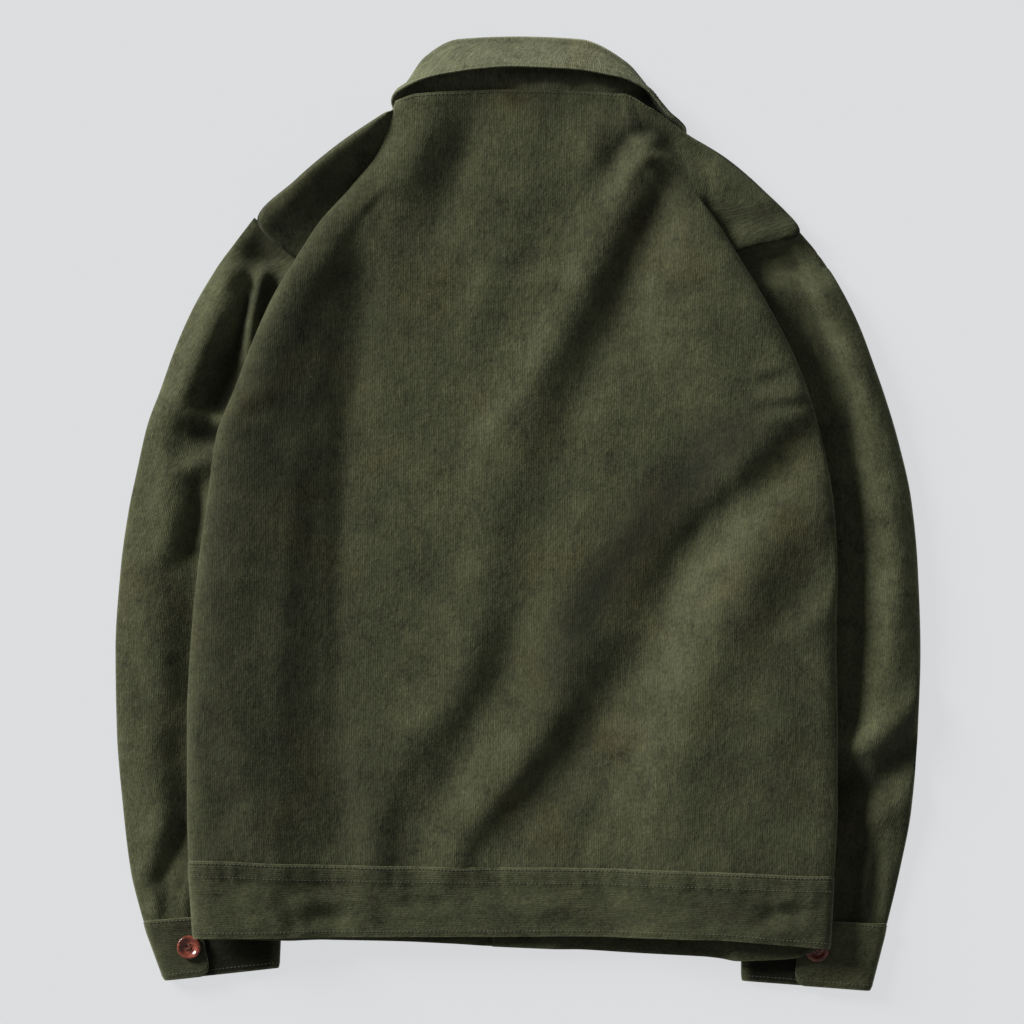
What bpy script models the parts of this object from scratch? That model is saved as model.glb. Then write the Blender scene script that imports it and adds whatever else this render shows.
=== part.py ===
"""Corduroy jacket lying face down on a flat surface: back panel up, sleeves tucked under the body's sides.

x runs to the right seen from above, y towards the collar and z up from the surface. The tables are in
millimetres. Each piece of cloth is an open sheet through section points worked out from its table, and
Solidify gives it its thickness. A table row is one section, and "out" is a distance from the centre line
x = 0 towards the piece's own side.
"""

import math
from collections import namedtuple

import bmesh
import bpy
import numpy as np

MM = 0.001
CLOTH = 1.6  # one layer of fine corduroy
DOUBLE = 2.8  # a folded band of it: waistband, cuffs and collar
LEFT, RIGHT = -1, 1

# The body's side: the fold edge, the height of the roll inside it, how far in that height has fallen by
# half, and the pleat that runs from the neck to the underarm.
Side = namedtuple("Side", "edge edge_y rim_z shelf tuck fold_z seam seam_y seam_z")
LEFT_SIDE = [
    Side(256, -271, 26, 86, 22, 16.2, 242, -271, 14.0),
    Side(257, -222, 27, 86, 22, 15.4, 242, -222, 13.6),
    Side(257, -160, 28, 84, 22, 15.2, 242, -160, 13.6),
    Side(254, -100, 28, 82, 22, 15.2, 240, -100, 13.6),
    Side(249, -45, 28, 78, 22, 15.2, 236, -45, 13.6),
    Side(242, 5, 28, 78, 22, 15.2, 230, 5, 13.6),
    Side(238, 36, 28, 78, 22, 15.2, 227, 36, 13.6),
    Side(234, 62, 28, 72, 22, 15.6, 222, 64, 13.4),
    Side(219, 100, 28, 62, 26, 15.6, 206, 92, 12.8),
    Side(207, 132, 28, 50, 32, 15.4, 186, 124, 12.4),
    Side(190, 170, 27, 38, 32, 15.2, 174, 158, 12.2),
    Side(172, 200, 25, 34, 30, 15.0, 168, 190, 12.2),
    Side(154, 228, 22, 30, 22, 14.5, 204, 229, 9.2),
    Side(129, 256, 20, 50, 14, 13.5, 173, 261, 6.0),
    Side(107, 285, 19, 50, 8, 12.5, 138, 290, 8.0),
    Side(97, 322, 17.5, 44, 3, 12.5, 103, 314, 10.2),
]
RIGHT_SIDE = [
    Side(245, -283, 27, 150, 22, 17.6, 231, -283, 15.4),
    Side(248, -228, 28, 150, 22, 16.2, 233, -228, 14.4),
    Side(248, -160, 28, 136, 22, 15.2, 233, -160, 13.6),
    Side(247, -100, 28, 122, 22, 15.2, 233, -100, 13.6),
    Side(248, -45, 28, 104, 22, 15.2, 235, -45, 13.6),
    Side(245, 8, 28, 84, 22, 15.2, 233, 8, 13.6),
    Side(238, 48, 28, 76, 22, 15.2, 227, 48, 13.6),
    Side(226, 93, 28, 84, 22, 15.6, 218, 94, 13.4),
    Side(214, 124, 28, 88, 24, 15.6, 204, 119, 12.8),
    Side(202, 148, 28, 88, 28, 15.4, 188, 147, 12.4),
    Side(187, 175, 27, 80, 30, 15.2, 177, 176, 12.2),
    Side(169, 204, 26, 60, 28, 15.0, 170, 204, 12.2),
    Side(152, 231, 24, 40, 20, 14.5, 221, 221, 9.2),
    Side(133, 256, 22, 30, 14, 13.5, 192, 253, 6.0),
    Side(113, 284, 20, 20, 8, 12.5, 160, 280, 8.0),
    Side(100, 322, 18, 12, 3, 12.5, 124, 300.5, 10.2),
]
UNDERARM = 7  # the row of the side tables where the side seam meets the armhole

# The middle of the back panel in the same rows.
Middle = namedtuple("Middle", "y z")
BACK_MIDDLE = [
    Middle(-277, 16),
    Middle(-225, 15),
    Middle(-160, 14.5),
    Middle(-103, 14),
    Middle(-45, 14),
    Middle(6, 14),
    Middle(42, 14),
    Middle(78, 14),
    Middle(112, 14),
    Middle(148, 14),
    Middle(186, 14.5),
    Middle(222, 15),
    Middle(250, 15.5),
    Middle(276, 15.5),
    Middle(303, 15.5),
    Middle(331.5, 14.5),
]

# Soft folds of the back panel: height above (or below) it, half width, and the way they run. Each place
# on the way gives x, y and how strong the fold is there.
Fold = namedtuple("Fold", "height width route")
BACK_FOLDS = [
    # the long fold from the right of the neck, and the hollow on its right
    Fold(6, 14, [(112, 292, 0.3), (96, 262, 0.9), (80, 235, 1), (52, 180, 1), (29, 130, 0.8), (11, 90, 0.7),
                 (-4, 50, 0.6), (-18, 10, 0.5), (-28, -35, 0.5), (-32, -80, 0.6), (-46, -135, 0.7),
                 (-80, -172, 0.6), (-103, -205, 0.6), (-108, -262, 0.5)]),
    Fold(-6, 13, [(126, 272, 0.3), (114, 242, 1), (92, 190, 1), (68, 140, 0.8), (48, 95, 0.5), (34, 50, 0.5),
                  (24, 5, 0.4), (14, -50, 0.4), (0, -100, 0.7), (-18, -145, 0.8), (-48, -195, 0.7),
                  (-70, -235, 0.6), (-78, -266, 0.5)]),
    # the fold from the right underarm, and the hollow below it
    Fold(6, 15, [(222, 92, 0.2), (190, 58, 0.9), (155, 26, 1), (125, 0, 1), (95, -35, 0.7), (68, -75, 0.6),
                 (50, -105, 0.7), (28, -150, 0.9), (-2, -200, 1), (-34, -240, 0.8), (-55, -266, 0.6)]),
    Fold(-6, 13, [(234, 64, 0.3), (200, 28, 1), (168, 0, 1), (142, -26, 1), (116, -68, 0.6), (104, -100, 0.5),
                  (72, -140, 0.7), (40, -190, 1), (10, -230, 1), (-18, -264, 0.7)]),
    # the broad one on its right, and the sunk cloth at the right edge
    Fold(4.5, 17, [(236, 12, 0.3), (206, -8, 0.9), (182, -42, 0.8), (164, -75, 0.8), (148, -110, 0.8),
                   (130, -155, 0.8), (112, -205, 0.7), (94, -252, 0.5)]),
    Fold(-3.5, 13, [(246, -30, 0.6), (228, -56, 1), (206, -86, 0.8), (196, -120, 0.3)]),
    Fold(3, 10, [(252, -62, 0.6), (226, -84, 0.9), (204, -104, 0.6), (196, -150, 0.2)]),
    Fold(-3, 26, [(196, 120, 0.2), (224, 40, 0.5), (238, -60, 0.7), (238, -160, 1), (234, -265, 1)]),
    # the hollow down the left
    Fold(-3, 11, [(-137, 240, 0.2), (-127, 200, 0.9), (-124, 160, 1), (-128, 120, 0.8), (-137, 60, 0.7),
                  (-142, 0, 0.8), (-147, -60, 0.8), (-149, -120, 0.6), (-148, -180, 0.4), (-142, -250, 0.4)]),
    Fold(1.8, 14, [(-158, 226, 0.3), (-180, 180, 0.8), (-196, 130, 0.9), (-206, 70, 0.9), (-213, 0, 1),
                   (-226, -60, 0.7), (-230, -120, 0.8), (-217, -190, 0.9), (-200, -258, 0.4)]),
    # what comes down from the neck
    Fold(3, 11, [(-64, 328, 0.7), (-75, 296, 1), (-89, 256, 0.9), (-104, 220, 0.4), (-112, 190, 0)]),
    Fold(-3.6, 11, [(-24, 326, 0.3), (-33, 302, 1), (-47, 262, 1), (-62, 226, 0.8), (-78, 192, 0.1)]),
    Fold(1.6, 12, [(2, 262, 0), (-6, 220, 0.8), (-26, 170, 1), (-46, 128, 0)]),
    Fold(-2.0, 11, [(30, 262, 0), (20, 220, 1), (4, 176, 1), (-16, 132, 0)]),
]

# A front panel: its centre edge, its outer edge, where it starts to climb over the sleeve, and how high.
Front = namedtuple("Front", "inner inner_y outer outer_y foot end_z")
LEFT_FRONT = [
    Front(-20, -287, 240, -273, 158, 14.0),
    Front(-20, -225, 247, -222, 148, 13.2),
    Front(-20, -160, 247, -160, 141, 13.0),
    Front(-20, -100, 244, -100, 138, 13.0),
    Front(-20, -45, 239, -45, 139, 13.0),
    Front(-20, 0, 232, 5, 147, 13.0),
    Front(-20, 34, 224, 36, 168, 13.0),
    Front(-20, 66, 210, 62, 178, 12.6),
    Front(-20, 104, 203, 94, 172, 9.0),
    Front(-20, 146, 186, 126, 160, 5.5),
    Front(-20, 186, 174, 159, 150, 3.4),
    Front(-20, 220, 167, 188, 146, 3.2),
    Front(-16, 246, 181, 203, 150, 3.2),
    Front(30, 256, 190, 213, 160, 3.2),
    Front(66, 276, 195, 219, 170, 3.2),
    Front(97, 306, 198, 223, 176, 3.2),
]
RIGHT_FRONT = [
    Front(-20, -287, 224, -284, 150, 15.2),
    Front(-20, -225, 238, -228, 140, 14.0),
    Front(-20, -160, 238, -160, 134, 13.0),
    Front(-20, -100, 237, -100, 132, 13.0),
    Front(-20, -45, 238, -45, 133, 13.0),
    Front(-20, 0, 235, 8, 140, 13.0),
    Front(-20, 34, 226, 48, 156, 13.0),
    Front(-20, 66, 204, 93, 174, 12.2),
    Front(-20, 104, 200, 118, 170, 9.0),
    Front(-20, 146, 187, 147, 158, 5.5),
    Front(-20, 186, 176, 176, 150, 3.4),
    Front(-20, 220, 170, 203, 146, 3.2),
    Front(-16, 246, 190, 210, 160, 3.2),
    Front(30, 256, 203, 215, 172, 3.2),
    Front(66, 276, 210, 217, 180, 3.2),
    Front(115, 297, 213, 219, 186, 3.2),
]

# A sleeve: its inner edge under the body, its outer edge, and the height of its upper layer across.
Sleeve = namedtuple("Sleeve", "inner inner_y outer outer_y in_z valley_z crest_z low_z")
LEFT_SLEEVE = [
    Sleeve(186, -310, 292.5, -318.5, 8.0, 7.6, 8.2, 0.8),
    Sleeve(181, -280, 302, -280, 9.4, 7.6, 11.0, 0.8),
    Sleeve(170, -230, 308, -230, 9.8, 7.6, 13.5, 0.8),
    Sleeve(162, -170, 313, -168, 9.8, 7.4, 14.5, 0.8),
    Sleeve(158, -100, 314, -106, 9.8, 7.4, 15.0, 0.8),
    Sleeve(160, -40, 310, -43, 9.8, 7.4, 15.0, 0.8),
    Sleeve(168, 5, 303.5, 4, 9.8, 7.4, 15.0, 0.8),
    Sleeve(192, 36, 297, 35, 9.8, 7.6, 14.5, 0.8),
    Sleeve(217, 62, 289, 70, 10.4, 8.0, 14.0, 5.5),
    Sleeve(202, 92, 279, 97, 10.4, 8.0, 14.0, 6.0),
    Sleeve(182, 126, 268, 128, 10.0, 8.0, 13.5, 3.0),
    Sleeve(170, 160, 254, 160, 9.8, 8.0, 12.5, 0.8),
    Sleeve(165, 182, 236, 191, 9.8, 8.5, 11.0, 0.8),
    Sleeve(164, 193, 206, 232, 9.8, 8.6, 5.6, 0.8),
]
RIGHT_SLEEVE = [
    Sleeve(176, -316, 288, -321, 8.0, 7.6, 8.2, 0.8),
    Sleeve(170, -280, 298, -278, 9.4, 7.6, 11.0, 0.8),
    Sleeve(162, -230, 307, -230, 9.8, 7.6, 13.5, 0.8),
    Sleeve(156, -170, 312, -168, 9.8, 7.4, 14.5, 0.8),
    Sleeve(152, -100, 314, -106, 9.8, 7.4, 15.0, 0.8),
    Sleeve(154, -40, 312, -43, 9.8, 7.4, 15.0, 0.8),
    Sleeve(164, 10, 307, 10, 9.8, 7.4, 15.0, 0.8),
    Sleeve(182, 56, 297, 56, 9.8, 7.6, 14.5, 0.8),
    Sleeve(213, 92, 287, 90, 10.4, 8.0, 14.0, 5.5),
    Sleeve(200, 118, 278, 116, 10.4, 8.0, 14.0, 6.0),
    Sleeve(184, 147, 266, 148, 10.0, 8.0, 13.5, 3.0),
    Sleeve(173, 177, 251, 178, 9.8, 8.0, 12.5, 0.8),
    Sleeve(167, 198, 237, 200, 9.8, 8.5, 11.0, 0.8),
    Sleeve(166, 207, 219, 222, 9.8, 8.6, 5.6, 0.8),
]
SLEEVE_UNDERARM = 8  # the last row of a sleeve that closes round at its inner edge

# The four corners of a laid cuff, and where its overlap tab ends, as a share of its width from the
# outer edge.
Cuff = namedtuple("Cuff", "seam_out seam_out_y seam_in seam_in_y hem_out hem_out_y hem_in hem_in_y tab")
LEFT_CUFF = Cuff(292.5, -319.5, 186, -311, 276, -364.5, 188, -355, 0.41)
RIGHT_CUFF = Cuff(288, -322, 176, -317, 275, -372.5, 176, -365, 0.60)

# The collar strip from the right front point round the back of the neck to the left front point.
Section = namedtuple("Section", "seam_x seam_y seam_z roll_x roll_y roll_z edge_x edge_y edge_z")
COLLAR = [
    Section(10, 249, 4.9, 13, 268, 3.2, 36, 208, 1.4),
    Section(54, 268, 4.9, 54, 286, 3.2, 82, 226, 1.4),
    Section(90, 283, 5.0, 94, 297, 3.4, 120, 252, 1.4),
    Section(114, 291, 5.2, 122, 296, 4.4, 132, 286, 2.0),
    Section(128, 303, 6.0, 132, 304, 6.0, 134, 300, 10.0),
    Section(113, 313.5, 8.5, 118, 317, 7.5, 117, 314, 17.0),
    Section(94, 325.5, 10.0, 101, 334.5, 7.5, 98, 331, 22.0),
    Section(70, 328, 11.5, 84, 353, 7.5, 75, 343, 26.0),
    Section(36, 328.5, 11.8, 48, 370.5, 8.0, 40, 348.5, 28.5),
    Section(0, 328.5, 11.8, 0, 372.5, 8.0, 0, 350, 29.0),
    Section(-36, 328, 11.6, -46, 370.5, 8.0, -37, 347.5, 28.0),
    Section(-64, 326, 11.2, -72, 357, 7.5, -67, 342.5, 25.0),
    Section(-86, 325.5, 10.0, -87, 337, 7.2, -86, 332, 20.0),
    Section(-97, 320, 7.0, -100, 323, 6.0, -101.5, 321, 10.0),
    Section(-91, 306, 5.2, -96, 312, 4.4, -102, 307, 2.2),
    Section(-82, 291, 5.0, -88, 303, 3.4, -108, 262, 1.4),
    Section(-50, 268, 4.9, -54, 286, 3.2, -82, 226, 1.4),
    Section(-10, 249, 4.9, -13, 268, 3.2, -36, 208, 1.4),
]

# How many strips of faces stand between the rows of each table.
BACK_STEPS = [2, 2, 2, 2, 2, 1, 1, 1, 1, 1, 1, 1, 1, 1, 1]
SLEEVE_STEPS = [1, 1, 2, 2, 2, 2, 1, 1, 1, 1, 1, 2, 2]
COLLAR_STEPS = [1, 1, 1, 1, 1, 2, 2, 2, 2, 2, 2, 2, 1, 1, 1, 1, 1]

PLACKET = 20  # half the width of the overlap of the fronts
PLACKET_LIFT = 3.6  # the left front rides on its buttons
OVERLAP_LIFT = 3.3  # and the right front on the left one
COLLAR_LIFT = 6.9  # the fronts ride on the collar's points
PRESSED_TURN = 1.8  # from the roll line to where the collar's two layers lie level, at its flat points
STANDING_TURN = 4  # the same where it stands round the neck
BAND_END_Y = -331  # bottom edge of the waistband at the back
BUTTON_RADIUS = 9.3
BUTTON_HEIGHT = 3.2
FRONT_BUTTON_YS = (165, 70, -25, -120, -215, -312)

OLIVE = (0.052, 0.056, 0.027)
OLIVE_TRIM = (0.048, 0.052, 0.025)
BROWN = (0.16, 0.035, 0.018)


def ease(t):
    t = np.clip(t, 0, 1)
    return t * t * (3 - 2 * t)


def slopes(t, p):
    """Slopes of a curve through p that never overshoots, so that layers stay apart between rows."""
    step = np.diff(t)[:, None]
    rise = np.diff(p, axis=0) / step
    slope = np.zeros_like(p)
    slope[0], slope[-1] = rise[0], rise[-1]
    before, after = rise[:-1], rise[1:]
    agree = before * after > 0
    near, far = 2 * step[1:] + step[:-1], step[1:] + 2 * step[:-1]
    mean = (near + far) / (near / np.where(agree, before, 1) + far / np.where(agree, after, 1))
    slope[1:-1] = np.where(agree, mean, 0)
    return slope


def refine(net, steps):
    """The net with each interval of its rows cut into this many, along smooth curves."""
    shape = net.shape
    flat = net.reshape(shape[0], -1)
    gaps = np.linalg.norm(np.diff(net, axis=0), axis=2).mean(axis=1)
    t = np.concatenate([[0], np.cumsum(gaps)])
    slope = slopes(t, flat)
    rows = []
    for i, count in enumerate(steps):
        for k in range(count):
            s = k / count
            h = gaps[i]
            rows.append(
                (2 * s**3 - 3 * s**2 + 1) * flat[i]
                + (s**3 - 2 * s**2 + s) * h * slope[i]
                + (3 * s**2 - 2 * s**3) * flat[i + 1]
                + (s**3 - s**2) * h * slope[i + 1]
            )
    rows.append(flat[-1])
    return np.array(rows).reshape(-1, *shape[1:])


def along(route, share):
    """The place at this share of a fold's route, and how strong the fold is there."""
    points = np.array(route, float)
    lengths = np.linalg.norm(np.diff(points[:, :2], axis=0), axis=1)
    t = np.concatenate([[0], np.cumsum(lengths)]) / lengths.sum()
    return np.array([np.interp(share, t, points[:, i]) for i in range(3)])


def fold_height(x, y):
    """How far the soft folds of the back raise or sink it here."""
    shares = np.linspace(0, 1, 61)
    total = 0
    for fold in BACK_FOLDS:
        path = along(fold.route, shares)
        gap = np.hypot(path[0] - x, path[1] - y)
        nearest = gap.argmin()
        total += fold.height * path[2, nearest] * math.exp(-((gap[nearest] / fold.width) ** 2) / 2)
    return total


def side_keys(row, sign):
    """The section of the body's side from its hidden seam, through the pleat, to the crest of its roll."""
    drop = row.rim_z - row.fold_z
    lap = float(ease(row.tuck / 12))
    inner = row.edge - row.tuck
    shoulder = 4.5 if row.seam_y > row.edge_y - 9 and row.seam_z < 12 else 0.6
    beyond = row.seam_y - row.edge_y
    halfway = (inner + 2.5 * lap + row.seam - 5) / 2
    halfway_z = (row.fold_z + row.seam_z + shoulder) / 2 - 1
    keys = [
        (row.seam, row.seam_y, row.seam_z),
        (row.seam - 5, row.edge_y + 0.88 * beyond, row.seam_z + shoulder),
        (halfway, row.edge_y + 0.5 * beyond, halfway_z),
        (inner + 2.5 * lap, row.edge_y, row.fold_z - 1.7),
        (inner, row.edge_y, row.fold_z),
        (inner + 2.5 * lap, row.edge_y, row.fold_z + 1.7 * lap + 0.1 * drop),
        (row.edge - row.tuck / 2, row.edge_y, row.fold_z + 0.16 * drop),
        (row.edge - 3.5 * lap, row.edge_y, row.rim_z - 0.86 * drop),
        (row.edge, row.edge_y, row.rim_z - 0.5 * drop),
        (row.edge - 4.5, row.edge_y, row.rim_z - 0.16 * drop),
        (row.edge - RIM_IN, row.edge_y, row.rim_z),
    ]
    return [(sign * out, y, z) for out, y, z in keys]


def wrap_keys(row, sign):
    """The same keys below the underarm, where the panel only wraps round to the side seam beneath."""
    keys = side_keys(row, sign)
    under = row.fold_z
    for i, inset in ((3, row.tuck), (4, row.tuck), (5, row.tuck - 7), (6, row.tuck / 2)):
        keys[i] = (sign * (row.edge - inset), row.edge_y, under)
    return keys


FOLD_KEY = 4  # the key of the pleat's hidden inner fold, and of the side seam below the underarm
RIM_IN = 16  # how far inside its fold edge the side roll is highest
NECK_ROUND = 5.5  # how far the neck edge falls over those rolls
SHELF_FALL = 72  # width of the slope from the raised cloth at the sides down to the middle
# Where the back panel's middle columns stand between its fold edges.
BACK_SHARES = np.linspace(0.13, 0.87, 17)


def above(z, floor):
    """z where it is well above the floor, and the floor where it isn't, with a soft turn between."""
    return (z + floor + math.hypot(z - floor, 1.2)) / 2


def lifted(out, y, over):
    """Height of a flat front's middle plane, on its buttons, the other front and the collar's points."""
    z = CLOTH / 2 + PLACKET_LIFT * float(ease((46 - out) / 20) * ease((198 - y) / 20))
    z += COLLAR_LIFT * float(ease((182 - math.hypot(out, y - 318)) / 44))
    return z + (OVERLAP_LIFT * float(ease((46 - out) / 20)) if over else 0)


def back_floor(x, y):
    """The lowest that the back panel's middle plane lies on the fronts and the sleeves beneath."""
    over_sleeve = float(ease((abs(x) - 104) / 30) * ease((130 - y) / 60))
    return lifted(abs(x), y, True) + 2.6 + 12.4 * over_sleeve


def back_net():
    net = []
    for i, (left, right, middle) in enumerate(zip(LEFT_SIDE, RIGHT_SIDE, BACK_MIDDLE)):
        section = wrap_keys if i < UNDERARM else side_keys
        round_off = NECK_ROUND if middle is BACK_MIDDLE[-1] else 0
        inner = []
        for share in BACK_SHARES:
            x = -left.edge + share * (left.edge + right.edge)
            side, reach = (left, left.edge + x) if x < 0 else (right, right.edge - x)
            fall = (x / (side.edge - RIM_IN)) ** 2
            y = middle.y + (side.edge_y + round_off - middle.y) * fall
            raised = 1 - float(ease((reach - side.shelf) / SHELF_FALL + 0.5))
            z = middle.z + (side.rim_z - middle.z) * raised
            inner.append((x, y, above(z + fold_height(x, y), back_floor(x, y))))
        sides = [section(left, LEFT), section(right, RIGHT)]
        for keys, side in zip(sides, (left, right)):
            for k, (x, y, z) in enumerate(keys):
                inside = np.clip((side.edge - abs(x)) / RIM_IN, 0, 1)
                keys[k] = (x, y + round_off * inside, z)
        net.append(sides[0] + inner + sides[1][::-1])
    return np.array(net)


def front_height(out, y, row, over):
    """Height of a front panel's middle plane: on its lifts near the centre, and up over the sleeve."""
    climb = ease((out - row.foot) / 20)
    return lifted(out, y, over) + (row.end_z - CLOTH / 2) * climb


def front_net(rows, sign, over):
    net = []
    for row in rows:
        span = row.outer - row.inner
        outs = [row.inner + share * span for share in (0, 0.165, 0.26, 0.42)]
        outs += [row.foot - 2, row.foot + 6, row.foot + 14, row.foot + 21, row.outer - 8, row.outer]
        if row.foot + 21 > row.outer - 9:
            outs[4:8] = np.linspace(outs[3], row.outer - 8, 6)[1:5]
        points = []
        for out in outs:
            y = row.inner_y + (row.outer_y - row.inner_y) * (out - row.inner) / span
            points.append((sign * out, y, front_height(out, y, row, over)))
        net.append(points)
    return np.array(net)


RING_SHARES = (0, 0.05, 0.25, 0.45, 0.62, 0.8, 0.93, 1, 0.94, 0.8, 0.5, 0.2, 0.04, 0)


def sleeve_net(rows, sign):
    """Rings from the inner edge over the top to the outer edge, and back along the surface."""
    net = []
    for i, row in enumerate(rows):
        closed = i <= SLEEVE_UNDERARM
        middle = (row.in_z + row.low_z) / 2
        heights = [
            middle if closed else row.in_z,
            row.in_z,
            row.in_z,
            (row.in_z + row.valley_z) / 2,
            row.valley_z,
            row.crest_z,
            0.8 * row.crest_z,
            0.45 * row.crest_z + 0.4,
            1.7,
            CLOTH / 2,
            CLOTH / 2,
            0.3 * row.low_z + 0.7 * CLOTH / 2,
            row.low_z,
            middle if closed else row.low_z,
        ]
        points = []
        for share, z in zip(RING_SHARES, heights):
            out = row.inner + share * (row.outer - row.inner)
            y = row.inner_y + share * (row.outer_y - row.inner_y)
            points.append((sign * out, y, z))
        net.append(points)
    return np.array(net)


def cuff_net(cuff, sign):
    """A band from under its own tab, round the inner edge, beneath, and back over the outer edge."""
    path = [
        (0.28, 5.0), (0.55, 5.0), (0.85, 4.9), (0.975, 4.3), (1.0, 3.1), (0.97, 1.6), (0.85, 1.4),
        (0.5, 1.4), (0.15, 1.4), (0.04, 1.6), (0.0, 4.6), (0.035, 7.8), (0.15, 8.6),
        (cuff.tab - 0.1, 8.6), (cuff.tab, 8.6),
    ]  # fmt: skip
    net = []
    for down in (0.0, 0.5, 1.0):
        points = []
        for share, z in path:
            top = np.array([cuff.seam_out, cuff.seam_out_y]) * (1 - share)
            top += np.array([cuff.seam_in, cuff.seam_in_y]) * share
            end = np.array([cuff.hem_out, cuff.hem_out_y]) * (1 - share)
            end += np.array([cuff.hem_in, cuff.hem_in_y]) * share
            out, y = top + down * (end - top)
            points.append((sign * out, y, z))
        net.append(points)
    return np.array(net)


def band_net(back):
    """The waistband from the left front's end, under the body, round both sides and across the back."""
    above = back[0, FOLD_KEY + 3 : -FOLD_KEY - 3]

    def front_part(rows, sign, lift):
        hem = rows[0]
        raised = hem.end_z + 0.8
        outs = [-PLACKET, 10, 26, 52, 90]
        outs += [hem.foot - 6, hem.foot + 8, hem.foot + 22, hem.outer - 30, hem.outer - 8]
        heights = (lift, lift, lift, 1.4, 1.4, 1.4, 0.5 * raised, raised, raised, raised)
        part = []
        for out, z in zip(outs, heights):
            y = hem.inner_y + (hem.outer_y - hem.inner_y) * (out - hem.inner) / (hem.outer - hem.inner)
            part.append((sign * out, y - (1.6 if out < 30 else 0), z))
        return part

    left = front_part(LEFT_FRONT, LEFT, 5.2)
    right = front_part(RIGHT_FRONT, RIGHT, 8.8)
    top = np.array(left + [tuple(p) for p in above] + right[::-1])
    under = np.zeros(len(top))
    under[: len(left)] = 1
    under[-len(right) :] = 1
    top[:, 1] -= 0.6
    bottom = top.copy()
    x = top[:, 0]
    sag = np.interp(x, [-250, -90, 0, 100, 175, 235], [-1, -5, -9.5, -14, -16.5, -8])
    bottom[:, 1] = BAND_END_Y + np.interp(x, [-256, 50, 160, 245], [1, 2, 0, -7]) + under * sag
    bottom[:, 0] = x * np.interp(np.abs(x), [200, 256], [1, 0.985])
    middle = (top + bottom) / 2
    return np.array([top, middle, bottom])


def collar_net():
    """Across the collar: the seam, the stand, its turn at the roll line, the fall and its free edge."""
    net = []
    for s in COLLAR:
        seam = np.array([s.seam_x, s.seam_y, s.seam_z])
        roll = np.array([s.roll_x, s.roll_y, s.roll_z])
        edge = np.array([s.edge_x, s.edge_y, s.edge_z])
        stand = seam + 0.5 * (roll - seam)
        fall = roll + 0.5 * (edge - roll)
        pressed = s.edge_z < s.roll_z
        turn = PRESSED_TURN if pressed else STANDING_TURN
        turn_in = roll + (seam - roll) * min(0.4, turn / np.linalg.norm(seam - roll))
        turn_out = roll + (edge - roll) * min(0.4, turn / np.linalg.norm(edge - roll))
        if pressed:
            stand[2] = turn_in[2] = s.seam_z
            fall[2] = turn_out[2] = s.edge_z
        net.append([seam, stand, turn_in, roll, turn_out, fall, edge])
    return np.array(net)


def part_material(name, colour, roughness):
    material = bpy.data.materials.new(name)
    material.use_nodes = True
    shader = material.node_tree.nodes["Principled BSDF"]
    shader.inputs["Base Color"].default_value = (*colour, 1)
    shader.inputs["Roughness"].default_value = roughness
    shader.inputs["Metallic"].default_value = 0
    return material


def sheet(name, points, material, parts, thickness=CLOTH, missing=None):
    """The solid cloth on a grid of points. Cells that missing(row, column) names are left out."""
    rows, columns = points.shape[:2]
    mesh = bmesh.new()
    corners = [[mesh.verts.new(tuple(p * MM)) for p in row] for row in points]
    for r in range(rows - 1):
        for c in range(columns - 1):
            if missing is None or not missing(r, c):
                mesh.faces.new(
                    (corners[r][c], corners[r][c + 1], corners[r + 1][c + 1], corners[r + 1][c])
                )
    loose = [v for v in mesh.verts if not v.link_faces]
    bmesh.ops.delete(mesh, geom=loose, context="VERTS")
    bmesh.ops.remove_doubles(mesh, verts=mesh.verts, dist=1e-6)
    bmesh.ops.recalc_face_normals(mesh, faces=mesh.faces)
    data = bpy.data.meshes.new(name)
    mesh.to_mesh(data)
    mesh.free()
    piece = bpy.data.objects.new(name, data)
    parts.objects.link(piece)
    data.materials.append(material)
    solid = piece.modifiers.new("Thickness", "SOLIDIFY")
    solid.thickness = thickness * MM
    solid.offset = 0
    return piece


def button(name, centre, material, parts):
    """A turned button with a rounded rim and a dished middle."""
    profile = ((0, 1), (4.6, 1.0), (5.8, 1.9), (8.2, 3.2), (9.3, 2.0), (8.2, 0.3), (0, 0))
    mesh = bmesh.new()
    corners = []
    for radius, height in profile:
        scaled = radius * BUTTON_RADIUS / 9.3
        level = min(height * BUTTON_HEIGHT / 3.2, BUTTON_HEIGHT)
        corners.append(mesh.verts.new((scaled * MM, 0, level * MM)))
    for a, b in zip(corners, corners[1:]):
        mesh.edges.new((a, b))
    data = bpy.data.meshes.new(name)
    mesh.to_mesh(data)
    mesh.free()
    data.materials.append(material)
    piece = bpy.data.objects.new(name, data)
    parts.objects.link(piece)
    piece.location = [c * MM for c in centre]
    turn = piece.modifiers.new("Turn", "SCREW")
    turn.steps = turn.render_steps = 16
    turn.use_merge_vertices = True
    turn.merge_threshold = 0.00001
    turn.use_normal_calculate = True
    return piece


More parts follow.
